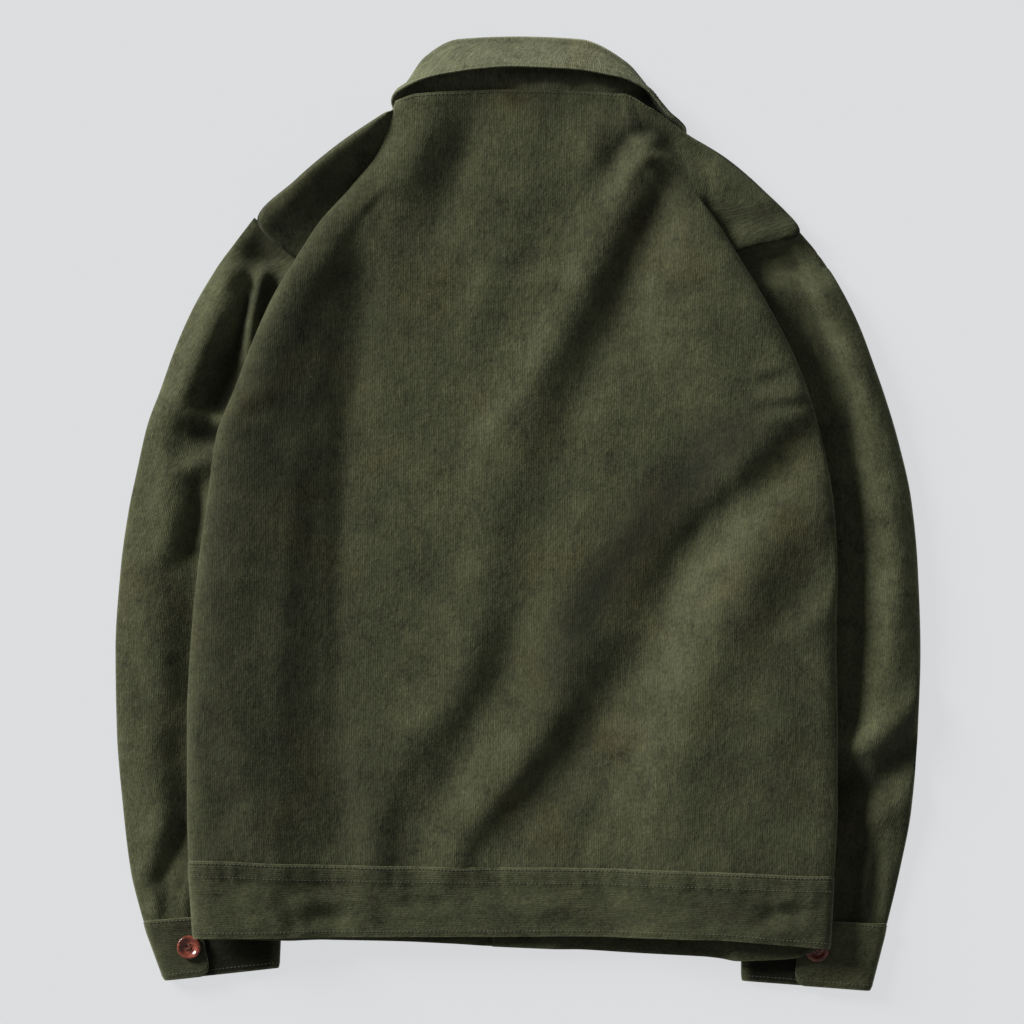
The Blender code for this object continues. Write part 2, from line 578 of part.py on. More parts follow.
def build():
    for thing in list(bpy.data.objects):
        bpy.data.objects.remove(thing)
    parts = bpy.data.collections.new("corduroy_jacket")
    bpy.context.scene.collection.children.link(parts)
    corduroy = part_material("Olive corduroy", OLIVE, 0.9)
    trim = part_material("Olive corduroy trim", OLIVE_TRIM, 0.9)
    brown = part_material("Red-brown button", BROWN, 0.25)

    back = back_net()
    underarm_row = sum(BACK_STEPS[:UNDERARM])
    last = back.shape[1] - 1
    sheet(
        "back_panel",
        refine(back, BACK_STEPS),
        corduroy,
        parts,
        missing=lambda r, c: r < underarm_row and (c < FOLD_KEY or c >= last - FOLD_KEY),
    )
    for side, sign, rows, over in (
        ("left", LEFT, LEFT_FRONT, False),
        ("right", RIGHT, RIGHT_FRONT, True),
    ):
        sheet(f"front_{side}", front_net(rows, sign, over), corduroy, parts)
    for side, sign, rows in (("left", LEFT, LEFT_SLEEVE), ("right", RIGHT, RIGHT_SLEEVE)):
        ring = sleeve_net(rows, sign)
        turns = ring.shape[1] - 2
        open_from = sum(SLEEVE_STEPS[:SLEEVE_UNDERARM])
        sheet(
            f"sleeve_{side}",
            refine(ring, SLEEVE_STEPS),
            corduroy,
            parts,
            missing=lambda r, c, turns=turns: r >= open_from and c in (0, turns),
        )
    for side, sign, cuff in (("left", LEFT, LEFT_CUFF), ("right", RIGHT, RIGHT_CUFF)):
        sheet(f"cuff_{side}", cuff_net(cuff, sign), trim, parts, DOUBLE)
    sheet("waistband", band_net(back), trim, parts, DOUBLE)
    sheet("collar", refine(collar_net(), COLLAR_STEPS), trim, parts, DOUBLE)

    button("cuff_button_left", (-257, -338, 10.3), brown, parts)
    button("cuff_button_right", (233.5, -340, 10.3), brown, parts)
    for number, y in enumerate(FRONT_BUTTON_YS, 1):
        button(f"front_button_{number}", (0, y, 0), brown, parts)


build()
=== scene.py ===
"""Corduroy jacket lying face down on a pale floor: its cloth, seams, stitching and buttons.

x runs to the right seen from above, y towards the collar and z up from the floor. The tables are in
millimetres. Each piece of cloth is a fine grid of points worked out from its table, laid over the solid
of the same piece, with its folds, creases and puckers added. "out" is a distance from the centre line
x = 0 towards the piece's own side, and a row is a section across the piece.
"""

import math
from collections import namedtuple

import bpy
import numpy as np
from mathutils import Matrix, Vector, noise


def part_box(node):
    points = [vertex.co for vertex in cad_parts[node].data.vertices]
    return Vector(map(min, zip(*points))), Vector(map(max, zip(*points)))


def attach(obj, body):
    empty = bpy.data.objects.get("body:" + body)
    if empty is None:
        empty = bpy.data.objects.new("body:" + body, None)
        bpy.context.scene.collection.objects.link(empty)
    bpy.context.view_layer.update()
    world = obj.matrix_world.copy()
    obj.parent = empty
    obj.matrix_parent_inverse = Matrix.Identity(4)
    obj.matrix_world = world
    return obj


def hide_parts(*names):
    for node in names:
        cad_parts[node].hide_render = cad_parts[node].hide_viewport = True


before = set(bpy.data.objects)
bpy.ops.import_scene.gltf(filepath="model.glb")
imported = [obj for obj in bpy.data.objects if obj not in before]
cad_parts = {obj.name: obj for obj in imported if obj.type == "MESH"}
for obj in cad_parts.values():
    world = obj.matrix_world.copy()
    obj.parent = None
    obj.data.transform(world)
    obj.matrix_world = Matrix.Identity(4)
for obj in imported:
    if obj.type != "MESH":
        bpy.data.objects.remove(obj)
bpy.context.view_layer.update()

bl_info = {
    "name": "Corduroy jacket",
    "version": (1, 0, 0),
    "blender": (4, 5, 0),
    "location": "3D View > Sidebar > Jacket",
    "description": "Builds a corduroy jacket lying face down, its stitching and buttons, and a plain stage",
    "category": "Add Mesh",
}

MM = 0.001
LEFT, RIGHT = -1, 1

# The body's side: the fold edge, the height of the roll inside it, how far in that height has fallen by
# half, and the pleat that runs from the neck to the underarm.
Side = namedtuple("Side", "edge edge_y rim_z shelf tuck fold_z seam seam_y seam_z")
LEFT_SIDE = [
    Side(256, -271, 26, 86, 22, 16.2, 242, -271, 14.0),
    Side(257, -222, 27, 86, 22, 15.4, 242, -222, 13.6),
    Side(257, -160, 28, 84, 22, 15.2, 242, -160, 13.6),
    Side(254, -100, 28, 82, 22, 15.2, 240, -100, 13.6),
    Side(249, -45, 28, 78, 22, 15.2, 236, -45, 13.6),
    Side(242, 5, 28, 78, 22, 15.2, 230, 5, 13.6),
    Side(238, 36, 28, 78, 22, 15.2, 227, 36, 13.6),
    Side(234, 62, 28, 72, 22, 15.6, 222, 64, 13.4),
    Side(219, 100, 28, 62, 26, 15.6, 206, 92, 12.8),
    Side(207, 132, 28, 50, 32, 15.4, 186, 124, 12.4),
    Side(190, 170, 27, 38, 32, 15.2, 174, 158, 12.2),
    Side(172, 200, 25, 34, 30, 15.0, 168, 190, 12.2),
    Side(154, 228, 22, 30, 22, 10.5, 203, 229, 8.6),
    Side(129, 256, 20, 50, 14, 9.0, 173, 261, 7.0),
    Side(107, 285, 19, 50, 8, 9.0, 138, 290, 8.4),
    Side(97, 322, 17.5, 44, 6, 12.5, 103, 314, 10.2),
]
RIGHT_SIDE = [
    Side(245, -283, 27, 150, 22, 17.6, 231, -283, 15.4),
    Side(248, -228, 28, 150, 22, 16.2, 233, -228, 14.4),
    Side(248, -160, 28, 136, 22, 15.2, 233, -160, 13.6),
    Side(247, -100, 28, 122, 22, 15.2, 233, -100, 13.6),
    Side(248, -45, 28, 104, 22, 15.2, 235, -45, 13.6),
    Side(245, 8, 28, 84, 22, 15.2, 233, 8, 13.6),
    Side(238, 48, 28, 76, 22, 15.2, 227, 48, 13.6),
    Side(226, 93, 28, 84, 22, 15.6, 218, 94, 13.4),
    Side(214, 124, 28, 88, 24, 15.6, 204, 119, 12.8),
    Side(202, 148, 28, 88, 28, 15.4, 188, 147, 12.4),
    Side(187, 175, 27, 80, 30, 15.2, 177, 176, 12.2),
    Side(169, 204, 26, 60, 28, 15.0, 170, 204, 12.2),
    Side(152, 231, 24, 40, 16, 16.5, 220, 221, 8.2),
    Side(133, 256, 22, 30, 3.5, 20.6, 192, 253, 6.0),
    Side(113, 284, 20, 20, 0, 19.6, 160, 280, 8.0),
    Side(100, 322, 18, 12, 0, 17.8, 124, 300.5, 10.2),
]
UNDERARM = 7  # the row of the side tables where the side seam meets the armhole

# The middle of the back panel in the same rows.
Middle = namedtuple("Middle", "y z")
BACK_MIDDLE = [
    Middle(-277, 16),
    Middle(-225, 15),
    Middle(-160, 14.5),
    Middle(-103, 14),
    Middle(-45, 14),
    Middle(6, 14),
    Middle(42, 14),
    Middle(78, 14),
    Middle(112, 14),
    Middle(148, 14),
    Middle(186, 14.5),
    Middle(222, 15),
    Middle(250, 15.5),
    Middle(276, 15.5),
    Middle(303, 15.5),
    Middle(331.5, 14.5),
]

# Soft folds of the back panel: height above (or below) it, half width, and the way they run. Each place
# on the way gives x, y and how strong the fold is there.
Fold = namedtuple("Fold", "height width route")
BACK_FOLDS = [
    # the long fold from the right of the neck, and the hollow on its right
    Fold(6, 14, [(112, 292, 0.3), (96, 262, 0.9), (80, 235, 1), (52, 180, 1), (29, 130, 0.8), (11, 90, 0.7),
                 (-4, 50, 0.6), (-18, 10, 0.5), (-28, -35, 0.5), (-32, -80, 0.6), (-46, -135, 0.7),
                 (-80, -172, 0.6), (-103, -205, 0.6), (-108, -262, 0.5)]),
    Fold(-6, 13, [(126, 272, 0.3), (114, 242, 1), (92, 190, 1), (68, 140, 0.8), (48, 95, 0.5), (34, 50, 0.5),
                  (24, 5, 0.4), (14, -50, 0.4), (0, -100, 0.7), (-18, -145, 0.8), (-48, -195, 0.7),
                  (-70, -235, 0.6), (-78, -266, 0.5)]),
    # the fold from the right underarm, and the hollow below it
    Fold(6, 15, [(222, 92, 0.2), (190, 58, 0.9), (155, 26, 1), (125, 0, 1), (95, -35, 0.7), (68, -75, 0.6),
                 (50, -105, 0.7), (28, -150, 0.9), (-2, -200, 1), (-34, -240, 0.8), (-55, -266, 0.6)]),
    Fold(-6, 13, [(234, 64, 0.3), (200, 28, 1), (168, 0, 1), (142, -26, 1), (116, -68, 0.6), (104, -100, 0.5),
                  (72, -140, 0.7), (40, -190, 1), (10, -230, 1), (-18, -264, 0.7)]),
    # the broad one on its right, and the sunk cloth at the right edge
    Fold(4.5, 17, [(236, 12, 0.3), (206, -8, 0.9), (182, -42, 0.8), (164, -75, 0.8), (148, -110, 0.8),
                   (130, -155, 0.8), (112, -205, 0.7), (94, -252, 0.5)]),
    Fold(-3.5, 13, [(246, -30, 0.6), (228, -56, 1), (206, -86, 0.8), (196, -120, 0.3)]),
    Fold(3, 10, [(252, -62, 0.6), (226, -84, 0.9), (204, -104, 0.6), (196, -150, 0.2)]),
    Fold(-3, 26, [(196, 120, 0.2), (224, 40, 0.5), (238, -60, 0.7), (238, -160, 1), (234, -265, 1)]),
    # the hollow down the left
    Fold(-3, 11, [(-137, 240, 0.2), (-127, 200, 0.9), (-124, 160, 1), (-128, 120, 0.8), (-137, 60, 0.7),
                  (-142, 0, 0.8), (-147, -60, 0.8), (-149, -120, 0.6), (-148, -180, 0.4), (-142, -250, 0.4)]),
    Fold(1.8, 14, [(-158, 226, 0.3), (-180, 180, 0.8), (-196, 130, 0.9), (-206, 70, 0.9), (-213, 0, 1),
                   (-226, -60, 0.7), (-230, -120, 0.8), (-217, -190, 0.9), (-200, -258, 0.4)]),
    # what comes down from the neck
    Fold(3, 11, [(-64, 328, 0.7), (-75, 296, 1), (-89, 256, 0.9), (-104, 220, 0.4), (-112, 190, 0)]),
    Fold(-3.6, 11, [(-24, 326, 0.3), (-33, 302, 1), (-47, 262, 1), (-62, 226, 0.8), (-78, 192, 0.1)]),
    Fold(1.6, 12, [(2, 262, 0), (-6, 220, 0.8), (-26, 170, 1), (-46, 128, 0)]),
    Fold(-2.0, 11, [(30, 262, 0), (20, 220, 1), (4, 176, 1), (-16, 132, 0)]),
]

# A front panel: its centre edge, its outer edge, where it starts to climb over the sleeve, and how high.
Front = namedtuple("Front", "inner inner_y outer outer_y foot end_z")
LEFT_FRONT = [
    Front(-20, -287, 240, -273, 158, 14.0),
    Front(-20, -225, 247, -222, 148, 13.2),
    Front(-20, -160, 247, -160, 141, 13.0),
    Front(-20, -100, 244, -100, 138, 13.0),
    Front(-20, -45, 239, -45, 139, 13.0),
    Front(-20, 0, 232, 5, 147, 13.0),
    Front(-20, 34, 224, 36, 168, 13.0),
    Front(-20, 66, 210, 62, 178, 12.6),
    Front(-20, 104, 203, 94, 172, 9.0),
    Front(-20, 146, 186, 126, 160, 5.5),
    Front(-20, 186, 174, 159, 150, 3.4),
    Front(-20, 220, 167, 188, 146, 3.2),
    Front(-16, 246, 181, 203, 150, 3.2),
    Front(30, 256, 190, 213, 160, 3.2),
    Front(66, 276, 195, 219, 170, 3.2),
    Front(97, 306, 198, 223, 176, 3.2),
]
RIGHT_FRONT = [
    Front(-20, -287, 224, -284, 150, 15.2),
    Front(-20, -225, 238, -228, 140, 14.0),
    Front(-20, -160, 238, -160, 134, 13.0),
    Front(-20, -100, 237, -100, 132, 13.0),
    Front(-20, -45, 238, -45, 133, 13.0),
    Front(-20, 0, 235, 8, 140, 13.0),
    Front(-20, 34, 226, 48, 156, 13.0),
    Front(-20, 66, 204, 93, 174, 12.2),
    Front(-20, 104, 200, 118, 170, 9.0),
    Front(-20, 146, 187, 147, 158, 5.5),
    Front(-20, 186, 176, 176, 150, 3.4),
    Front(-20, 220, 170, 203, 146, 3.2),
    Front(-16, 246, 190, 210, 160, 3.2),
    Front(30, 256, 203, 215, 172, 3.2),
    Front(66, 276, 210, 217, 180, 3.2),
    Front(115, 297, 213, 219, 186, 3.2),
]

# A sleeve: its inner edge under the body, its outer edge, and the height of its upper layer across.
Sleeve = namedtuple("Sleeve", "inner inner_y outer outer_y in_z valley_z crest_z low_z")
LEFT_SLEEVE = [
    Sleeve(186, -310, 292.5, -318.5, 8.0, 7.6, 8.2, 0.8),
    Sleeve(181, -280, 302, -280, 9.4, 7.6, 11.0, 0.8),
    Sleeve(170, -230, 308, -230, 9.8, 7.6, 13.5, 0.8),
    Sleeve(162, -170, 313, -168, 9.8, 7.4, 14.5, 0.8),
    Sleeve(158, -100, 314, -106, 9.8, 7.4, 15.0, 0.8),
    Sleeve(160, -40, 310, -43, 10.6, 11.0, 15.0, 0.8),
    Sleeve(168, 5, 303.5, 4, 10.6, 11.0, 15.0, 0.8),
    Sleeve(192, 36, 297, 35, 10.6, 11.0, 14.5, 0.8),
    Sleeve(217, 62, 289, 70, 10.6, 12.0, 14.0, 5.5),
    Sleeve(202, 92, 279, 97, 10.6, 12.0, 14.0, 6.0),
    Sleeve(182, 126, 268, 128, 10.6, 12.0, 13.5, 3.0),
    Sleeve(170, 160, 254, 160, 10.6, 12.0, 12.5, 0.8),
    Sleeve(165, 182, 236, 191, 9.8, 8.5, 11.0, 0.8),
    Sleeve(164, 193, 206, 232, 9.8, 8.6, 5.6, 0.8),
]
RIGHT_SLEEVE = [
    Sleeve(176, -316, 288, -321, 8.0, 7.6, 8.2, 0.8),
    Sleeve(170, -280, 298, -278, 9.4, 7.6, 11.0, 0.8),
    Sleeve(162, -230, 307, -230, 9.8, 7.6, 13.5, 0.8),
    Sleeve(156, -170, 312, -168, 9.8, 7.4, 14.5, 0.8),
    Sleeve(152, -100, 314, -106, 9.8, 7.4, 15.0, 0.8),
    Sleeve(154, -40, 312, -43, 9.8, 7.4, 15.0, 0.8),
    Sleeve(164, 10, 307, 10, 9.8, 7.4, 15.0, 0.8),
    Sleeve(182, 56, 297, 56, 9.8, 7.6, 14.5, 0.8),
    Sleeve(213, 92, 287, 90, 10.4, 8.0, 14.0, 5.5),
    Sleeve(200, 118, 278, 116, 10.4, 8.0, 14.0, 6.0),
    Sleeve(184, 147, 266, 148, 10.0, 8.0, 13.5, 3.0),
    Sleeve(173, 177, 251, 178, 9.8, 8.0, 12.5, 0.8),
    Sleeve(167, 198, 237, 200, 9.8, 8.5, 11.0, 0.8),
    Sleeve(166, 207, 219, 222, 9.8, 8.6, 5.6, 0.8),
]
SLEEVE_UNDERARM = 8  # the last row of a sleeve that closes round at its inner edge

# The four corners of a laid cuff, and where its overlap tab ends, as a share of its width from outside.
Cuff = namedtuple("Cuff", "seam_out seam_out_y seam_in seam_in_y hem_out hem_out_y hem_in hem_in_y tab")
LEFT_CUFF = Cuff(292.5, -319.5, 186, -311, 276, -364.5, 188, -355, 0.41)
RIGHT_CUFF = Cuff(288, -322, 176, -317, 275, -372.5, 176, -365, 0.60)

# The collar strip from the right front point round the back of the neck to the left front point.
Section = namedtuple("Section", "seam_x seam_y seam_z roll_x roll_y roll_z edge_x edge_y edge_z")
COLLAR = [
    Section(10, 249, 4.9, 13, 268, 3.2, 36, 208, 1.4),
    Section(54, 268, 4.9, 54, 286, 3.2, 82, 226, 1.4),
    Section(90, 283, 5.0, 94, 297, 3.4, 120, 252, 1.4),
    Section(114, 291, 5.2, 122, 296, 4.4, 132, 286, 2.0),
    Section(128, 303, 6.0, 132, 304, 6.0, 134, 300, 10.0),
    Section(113, 313.5, 8.5, 118, 317, 7.5, 117, 314, 17.0),
    Section(94, 325.5, 10.0, 101, 334.5, 7.5, 98, 331, 22.0),
    Section(70, 328, 11.5, 84, 353, 7.5, 74, 340.5, 26.0),
    Section(36, 328.5, 11.8, 48, 370.5, 8.0, 39, 345.5, 28.5),
    Section(0, 328.5, 11.8, 0, 372.5, 8.0, 0, 347, 29.0),
    Section(-36, 328, 11.6, -46, 370.5, 8.0, -36, 344.5, 28.0),
    Section(-64, 326, 11.2, -72, 357, 7.5, -65.5, 340, 25.0),
    Section(-86, 325.5, 10.0, -87, 337, 7.2, -86, 332, 20.0),
    Section(-97, 320, 7.0, -100, 323, 6.0, -101.5, 321, 10.0),
    Section(-91, 306, 5.2, -96, 312, 4.4, -102, 307, 2.2),
    Section(-82, 291, 5.0, -88, 303, 3.4, -108, 262, 1.4),
    Section(-50, 268, 4.9, -54, 286, 3.2, -82, 226, 1.4),
    Section(-10, 249, 4.9, -13, 268, 3.2, -36, 208, 1.4),
]

CLOTH = 1.6  # one layer of fine corduroy
PLACKET = 20  # half the width of the overlap of the fronts
PLACKET_LIFT = 3.6  # the left front rides on its buttons
OVERLAP_LIFT = 3.3  # and the right front on the left one
COLLAR_LIFT = 6.9  # the fronts ride on the collar's points
PRESSED_TURN = 1.8  # from the roll line to where the collar's two layers lie level, at its flat points
STANDING_TURN = 4  # the same where it stands round the neck
BAND_END_Y = -331  # bottom edge of the waistband at the back
FOLD_KEY = 4  # the key of the pleat's hidden inner fold, and of the side seam below the underarm
RIM_IN = 16  # how far inside its fold edge the side roll is highest
NECK_ROUND = 5.5  # how far the neck edge falls over those rolls
SHELF_FALL = 72  # width of the slope from the raised cloth at the sides down to the middle
BACK_SHARES = np.linspace(0.13, 0.87, 17)  # where the back's middle columns stand between its fold edges
FULL_LAP = 12  # a pleat tucked in this far lies fully lapped
PLEAT_FADE = 8  # one tucked in less than this fades into a plain slope


def ease(t):
    """0 below 0, 1 above 1 and an even rise between."""
    t = np.clip(t, 0, 1)
    return t * t * (3 - 2 * t)


def slopes(t, p):
    """Slopes of a curve through p that never overshoots, so that layers stay apart between rows."""
    step = np.diff(t)[:, None]
    rise = np.diff(p, axis=0) / step
    slope = np.zeros_like(p)
    slope[0], slope[-1] = rise[0], rise[-1]
    before, after = rise[:-1], rise[1:]
    agree = before * after > 0
    near, far = 2 * step[1:] + step[:-1], step[1:] + 2 * step[:-1]
    mean = (near + far) / (near / np.where(agree, before, 1) + far / np.where(agree, after, 1))
    slope[1:-1] = np.where(agree, mean, 0)
    return slope


def refine(net, steps):
    """The net with each interval of its rows cut into this many, along smooth curves."""
    shape = net.shape
    flat = net.reshape(shape[0], -1)
    gaps = np.linalg.norm(np.diff(net, axis=0), axis=2).mean(axis=1)
    t = np.concatenate([[0], np.cumsum(gaps)])
    slope = slopes(t, flat)
    rows = []
    for i, count in enumerate(steps):
        for k in range(count):
            s = k / count
            h = gaps[i]
            rows.append(
                (2 * s**3 - 3 * s**2 + 1) * flat[i]
                + (s**3 - 2 * s**2 + s) * h * slope[i]
                + (3 * s**2 - 2 * s**3) * flat[i + 1]
                + (s**3 - s**2) * h * slope[i + 1]
            )
    rows.append(flat[-1])
    return np.array(rows).reshape(-1, *shape[1:])


def side_keys(row, sign):
    """The section of the body's side from its hidden seam, through the pleat, to the crest of its roll."""
    drop = row.rim_z - row.fold_z
    lap = float(ease(row.tuck / FULL_LAP))
    inner = row.edge - row.tuck
    shoulder = 4.5 if row.seam_y > row.edge_y - 9 and row.seam_z < 12 else 0.6
    beyond = row.seam_y - row.edge_y
    halfway = (inner + 2.5 * lap + row.seam - 5) / 2
    halfway_z = (row.fold_z + row.seam_z + shoulder) / 2 - 1
    keys = [
        (row.seam, row.seam_y, row.seam_z),
        (row.seam - 5, row.edge_y + 0.88 * beyond, row.seam_z + shoulder),
        (halfway, row.edge_y + 0.5 * beyond, halfway_z),
        (inner + 2.5 * lap, row.edge_y, row.fold_z - 1.7 * lap),
        (inner, row.edge_y, row.fold_z),
        (inner + 2.5 * lap, row.edge_y, row.fold_z + 1.7 * lap + 0.1 * drop),
        (row.edge - row.tuck / 2, row.edge_y, row.fold_z + 0.16 * drop),
        (row.edge - 3.5 * lap, row.edge_y, row.rim_z - 0.86 * drop),
        (row.edge, row.edge_y, row.rim_z - 0.5 * drop),
        (row.edge - 4.5, row.edge_y, row.rim_z - 0.16 * drop),
        (row.edge - RIM_IN, row.edge_y, row.rim_z),
    ]
    pleated = ease(row.tuck / PLEAT_FADE)
    last = len(keys) - 1
    for i in range(1, last):
        t = i / last
        out = row.seam + (row.edge - RIM_IN - row.seam) * t
        plain = out, row.seam_y - beyond * t * (2 - t), row.seam_z + (row.rim_z - row.seam_z) * t * (2 - t)
        keys[i] = tuple(plain + (np.array(keys[i]) - plain) * pleated)
    return [(sign * out, y, z) for out, y, z in keys]


def wrap_keys(row, sign):
    """The same keys below the underarm, where the panel only wraps round to the side seam beneath."""
    keys = side_keys(row, sign)
    under = row.fold_z
    for i, inset in ((3, row.tuck), (4, row.tuck), (5, row.tuck - 7), (6, row.tuck / 2)):
        keys[i] = (sign * (row.edge - inset), row.edge_y, under)
    return keys


def above(z, floor, turn=1.2):
    """z where it is well above the floor, and the floor where it isn't, with a soft turn between."""
    return (z + floor + np.hypot(z - floor, turn)) / 2


def lifted(out, y, over):
    """Height of a flat front's middle plane, on its buttons, the other front and the collar's points."""
    z = CLOTH / 2 + PLACKET_LIFT * ease((46 - out) / 20) * ease((198 - y) / 20)
    z += COLLAR_LIFT * ease((182 - np.hypot(out, y - 318)) / 44)
    return z + (OVERLAP_LIFT * ease((46 - out) / 20) if over else 0)


def back_floor(x, y):
    """The lowest that the back panel's middle plane lies on the fronts and the sleeves beneath."""
    over_sleeve = ease((np.abs(x) - 122) / 32) * ease((130 - y) / 60)
    return lifted(np.abs(x), y, True) + 2.6 + 12.4 * over_sleeve


def back_net():
    """The back panel: the left side, the columns between, and the right side, row by row."""
    net = []
    for i, (left, right, middle) in enumerate(zip(LEFT_SIDE, RIGHT_SIDE, BACK_MIDDLE)):
        section = wrap_keys if i < UNDERARM else side_keys
        round_off = NECK_ROUND if middle is BACK_MIDDLE[-1] else 0
        inner = []
        for share in BACK_SHARES:
            x = -left.edge + share * (left.edge + right.edge)
            side, reach = (left, left.edge + x) if x < 0 else (right, right.edge - x)
            fall = (x / (side.edge - RIM_IN)) ** 2
            y = middle.y + (side.edge_y + round_off - middle.y) * fall
            raised = 1 - ease((reach - side.shelf) / SHELF_FALL + 0.5)
            inner.append((x, y, middle.z + (side.rim_z - middle.z) * raised))
        sides = [section(left, LEFT), section(right, RIGHT)]
        for keys, side in zip(sides, (left, right)):
            for k, (x, y, z) in enumerate(keys):
                inside = np.clip((side.edge - abs(x)) / RIM_IN, 0, 1)
                keys[k] = (x, y + round_off * inside, z)
        net.append(sides[0] + inner + sides[1][::-1])
    return np.array(net)


def front_height(out, y, row, over):
    """Height of a front panel's middle plane: on its lifts near the centre, and up over the sleeve."""
    climb = ease((out - row.foot) / 20)
    return lifted(out, y, over) + (row.end_z - CLOTH / 2) * climb


def front_net(rows, sign, over):
    """A front panel lying flat, from its centre edge out over the sleeve."""
    net = []
    for row in rows:
        span = row.outer - row.inner
        outs = [row.inner + share * span for share in (0, 0.165, 0.26, 0.42)]
        outs += [row.foot - 2, row.foot + 6, row.foot + 14, row.foot + 21, row.outer - 8, row.outer]
        if row.foot + 21 > row.outer - 9:
            outs[4:8] = np.linspace(outs[3], row.outer - 8, 6)[1:5]
        points = []
        for out in outs:
            y = row.inner_y + (row.outer_y - row.inner_y) * (out - row.inner) / span
            points.append((sign * out, y, front_height(out, y, row, over)))
        net.append(points)
    return np.array(net)


RING_SHARES = (0, 0.05, 0.25, 0.45, 0.62, 0.8, 0.93, 1, 0.94, 0.8, 0.5, 0.2, 0.04, 0)


def sleeve_net(rows, sign):
    """Rings from the inner edge over the top to the outer edge, and back along the surface."""
    net = []
    for i, row in enumerate(rows):
        closed = i <= SLEEVE_UNDERARM
        middle = (row.in_z + row.low_z) / 2
        heights = [
            middle if closed else row.in_z,
            row.in_z,
            row.in_z,
            (row.in_z + row.valley_z) / 2,
            row.valley_z,
            row.crest_z,
            0.8 * row.crest_z,
            0.45 * row.crest_z + 0.4,
            1.7,
            CLOTH / 2,
            CLOTH / 2,
            0.3 * row.low_z + 0.7 * CLOTH / 2,
            row.low_z,
            middle if closed else row.low_z,
        ]
        points = []
        for share, z in zip(RING_SHARES, heights):
            out = row.inner + share * (row.outer - row.inner)
            y = row.inner_y + share * (row.outer_y - row.inner_y)
            points.append((sign * out, y, z))
        net.append(points)
    return np.array(net)


def cuff_net(cuff, sign):
    """A band from under its own tab, round the inner edge, beneath, and back over the outer edge."""
    path = [
        (0.28, 5.0), (0.55, 5.0), (0.85, 4.9), (0.975, 4.3), (1.0, 3.1), (0.97, 1.6), (0.85, 1.4),
        (0.5, 1.4), (0.15, 1.4), (0.04, 1.6), (0.0, 4.6), (0.035, 7.8), (0.15, 8.6),
        (cuff.tab - 0.1, 8.6), (cuff.tab, 8.6),
    ]  # fmt: skip
    net = []
    for down in (0.0, 0.5, 1.0):
        points = []
        for share, z in path:
            top = np.array([cuff.seam_out, cuff.seam_out_y]) * (1 - share)
            top += np.array([cuff.seam_in, cuff.seam_in_y]) * share
            end = np.array([cuff.hem_out, cuff.hem_out_y]) * (1 - share)
            end += np.array([cuff.hem_in, cuff.hem_in_y]) * share
            out, y = top + down * (end - top)
            points.append((sign * out, y, z))
        net.append(points)
    return np.array(net)


def band_net(back):
    """The waistband from the left front's end, under the body, round both sides and across the back."""
    across_back = back[0, FOLD_KEY + 3 : -FOLD_KEY - 3]

    def front_part(rows, sign, lift):
        hem = rows[0]
        raised = hem.end_z + 0.8
        outs = [-PLACKET, 10, 26, 52, 90]
        outs += [hem.foot - 6, hem.foot + 8, hem.foot + 22, hem.outer - 30, hem.outer - 8]
        heights = (lift, lift, lift, 1.4, 1.4, 1.4, 0.5 * raised, raised, raised, raised)
        part = []
        for out, z in zip(outs, heights):
            y = hem.inner_y + (hem.outer_y - hem.inner_y) * (out - hem.inner) / (hem.outer - hem.inner)
            part.append((sign * out, y - (1.6 if out < 30 else 0), z))
        return part

    left = front_part(LEFT_FRONT, LEFT, 5.2)
    right = front_part(RIGHT_FRONT, RIGHT, 8.8)
    top = np.array(left + [tuple(p) for p in across_back] + right[::-1])
    under = np.zeros(len(top))
    under[: len(left)] = 1
    under[-len(right) :] = 1
    top[:, 1] -= 0.6
    bottom = top.copy()
    x = top[:, 0]
    sag = np.interp(x, [-250, -90, 0, 100, 175, 235], [-1, -5, -9.5, -14, -16.5, -8])
    bottom[:, 1] = BAND_END_Y + np.interp(x, [-256, 50, 160, 245], [1, 2, 0, -7]) + under * sag
    bottom[:, 0] = x * np.interp(np.abs(x), [200, 256], [1, 0.985])
    middle = (top + bottom) / 2
    return np.array([top, middle, bottom])


def collar_net():
    """Across the collar: the seam, the stand, its turn at the roll line, the fall and its free edge."""
    net = []
    for s in COLLAR:
        seam = np.array([s.seam_x, s.seam_y, s.seam_z])
        roll = np.array([s.roll_x, s.roll_y, s.roll_z])
        edge = np.array([s.edge_x, s.edge_y, s.edge_z])
        stand = seam + 0.5 * (roll - seam)
        fall = roll + 0.5 * (edge - roll)
        pressed = s.edge_z < s.roll_z
        turn = PRESSED_TURN if pressed else STANDING_TURN
        turn_in = roll + (seam - roll) * min(0.4, turn / np.linalg.norm(seam - roll))
        turn_out = roll + (edge - roll) * min(0.4, turn / np.linalg.norm(edge - roll))
        if pressed:
            stand[2] = turn_in[2] = s.seam_z
            fall[2] = turn_out[2] = s.edge_z
        net.append([seam, stand, turn_in, roll, turn_out, fall, edge])
    return np.array(net)


# ---------------------------------------------------------------- finer grids and creases

Grid = namedtuple("Grid", "points rows columns")  # rows and columns say where each table row and key lies


def cut_up(net, pitch):
    """The net with its rows cut up along smooth curves to about this pitch, and where each old row lies."""
    gaps = np.linalg.norm(np.diff(net, axis=0), axis=2)
    steps = np.maximum(2, np.round(np.percentile(gaps, 70, axis=1) / pitch)).astype(int)
    return refine(net, steps), np.concatenate([[0], np.cumsum(steps)])


def fine(net, pitch):
    """The net made fine both ways, and where its rows and columns came to lie."""
    points, rows = cut_up(net, pitch)
    turned, columns = cut_up(points.transpose(1, 0, 2), pitch)
    return Grid(turned.transpose(1, 0, 2).copy(), rows, columns)


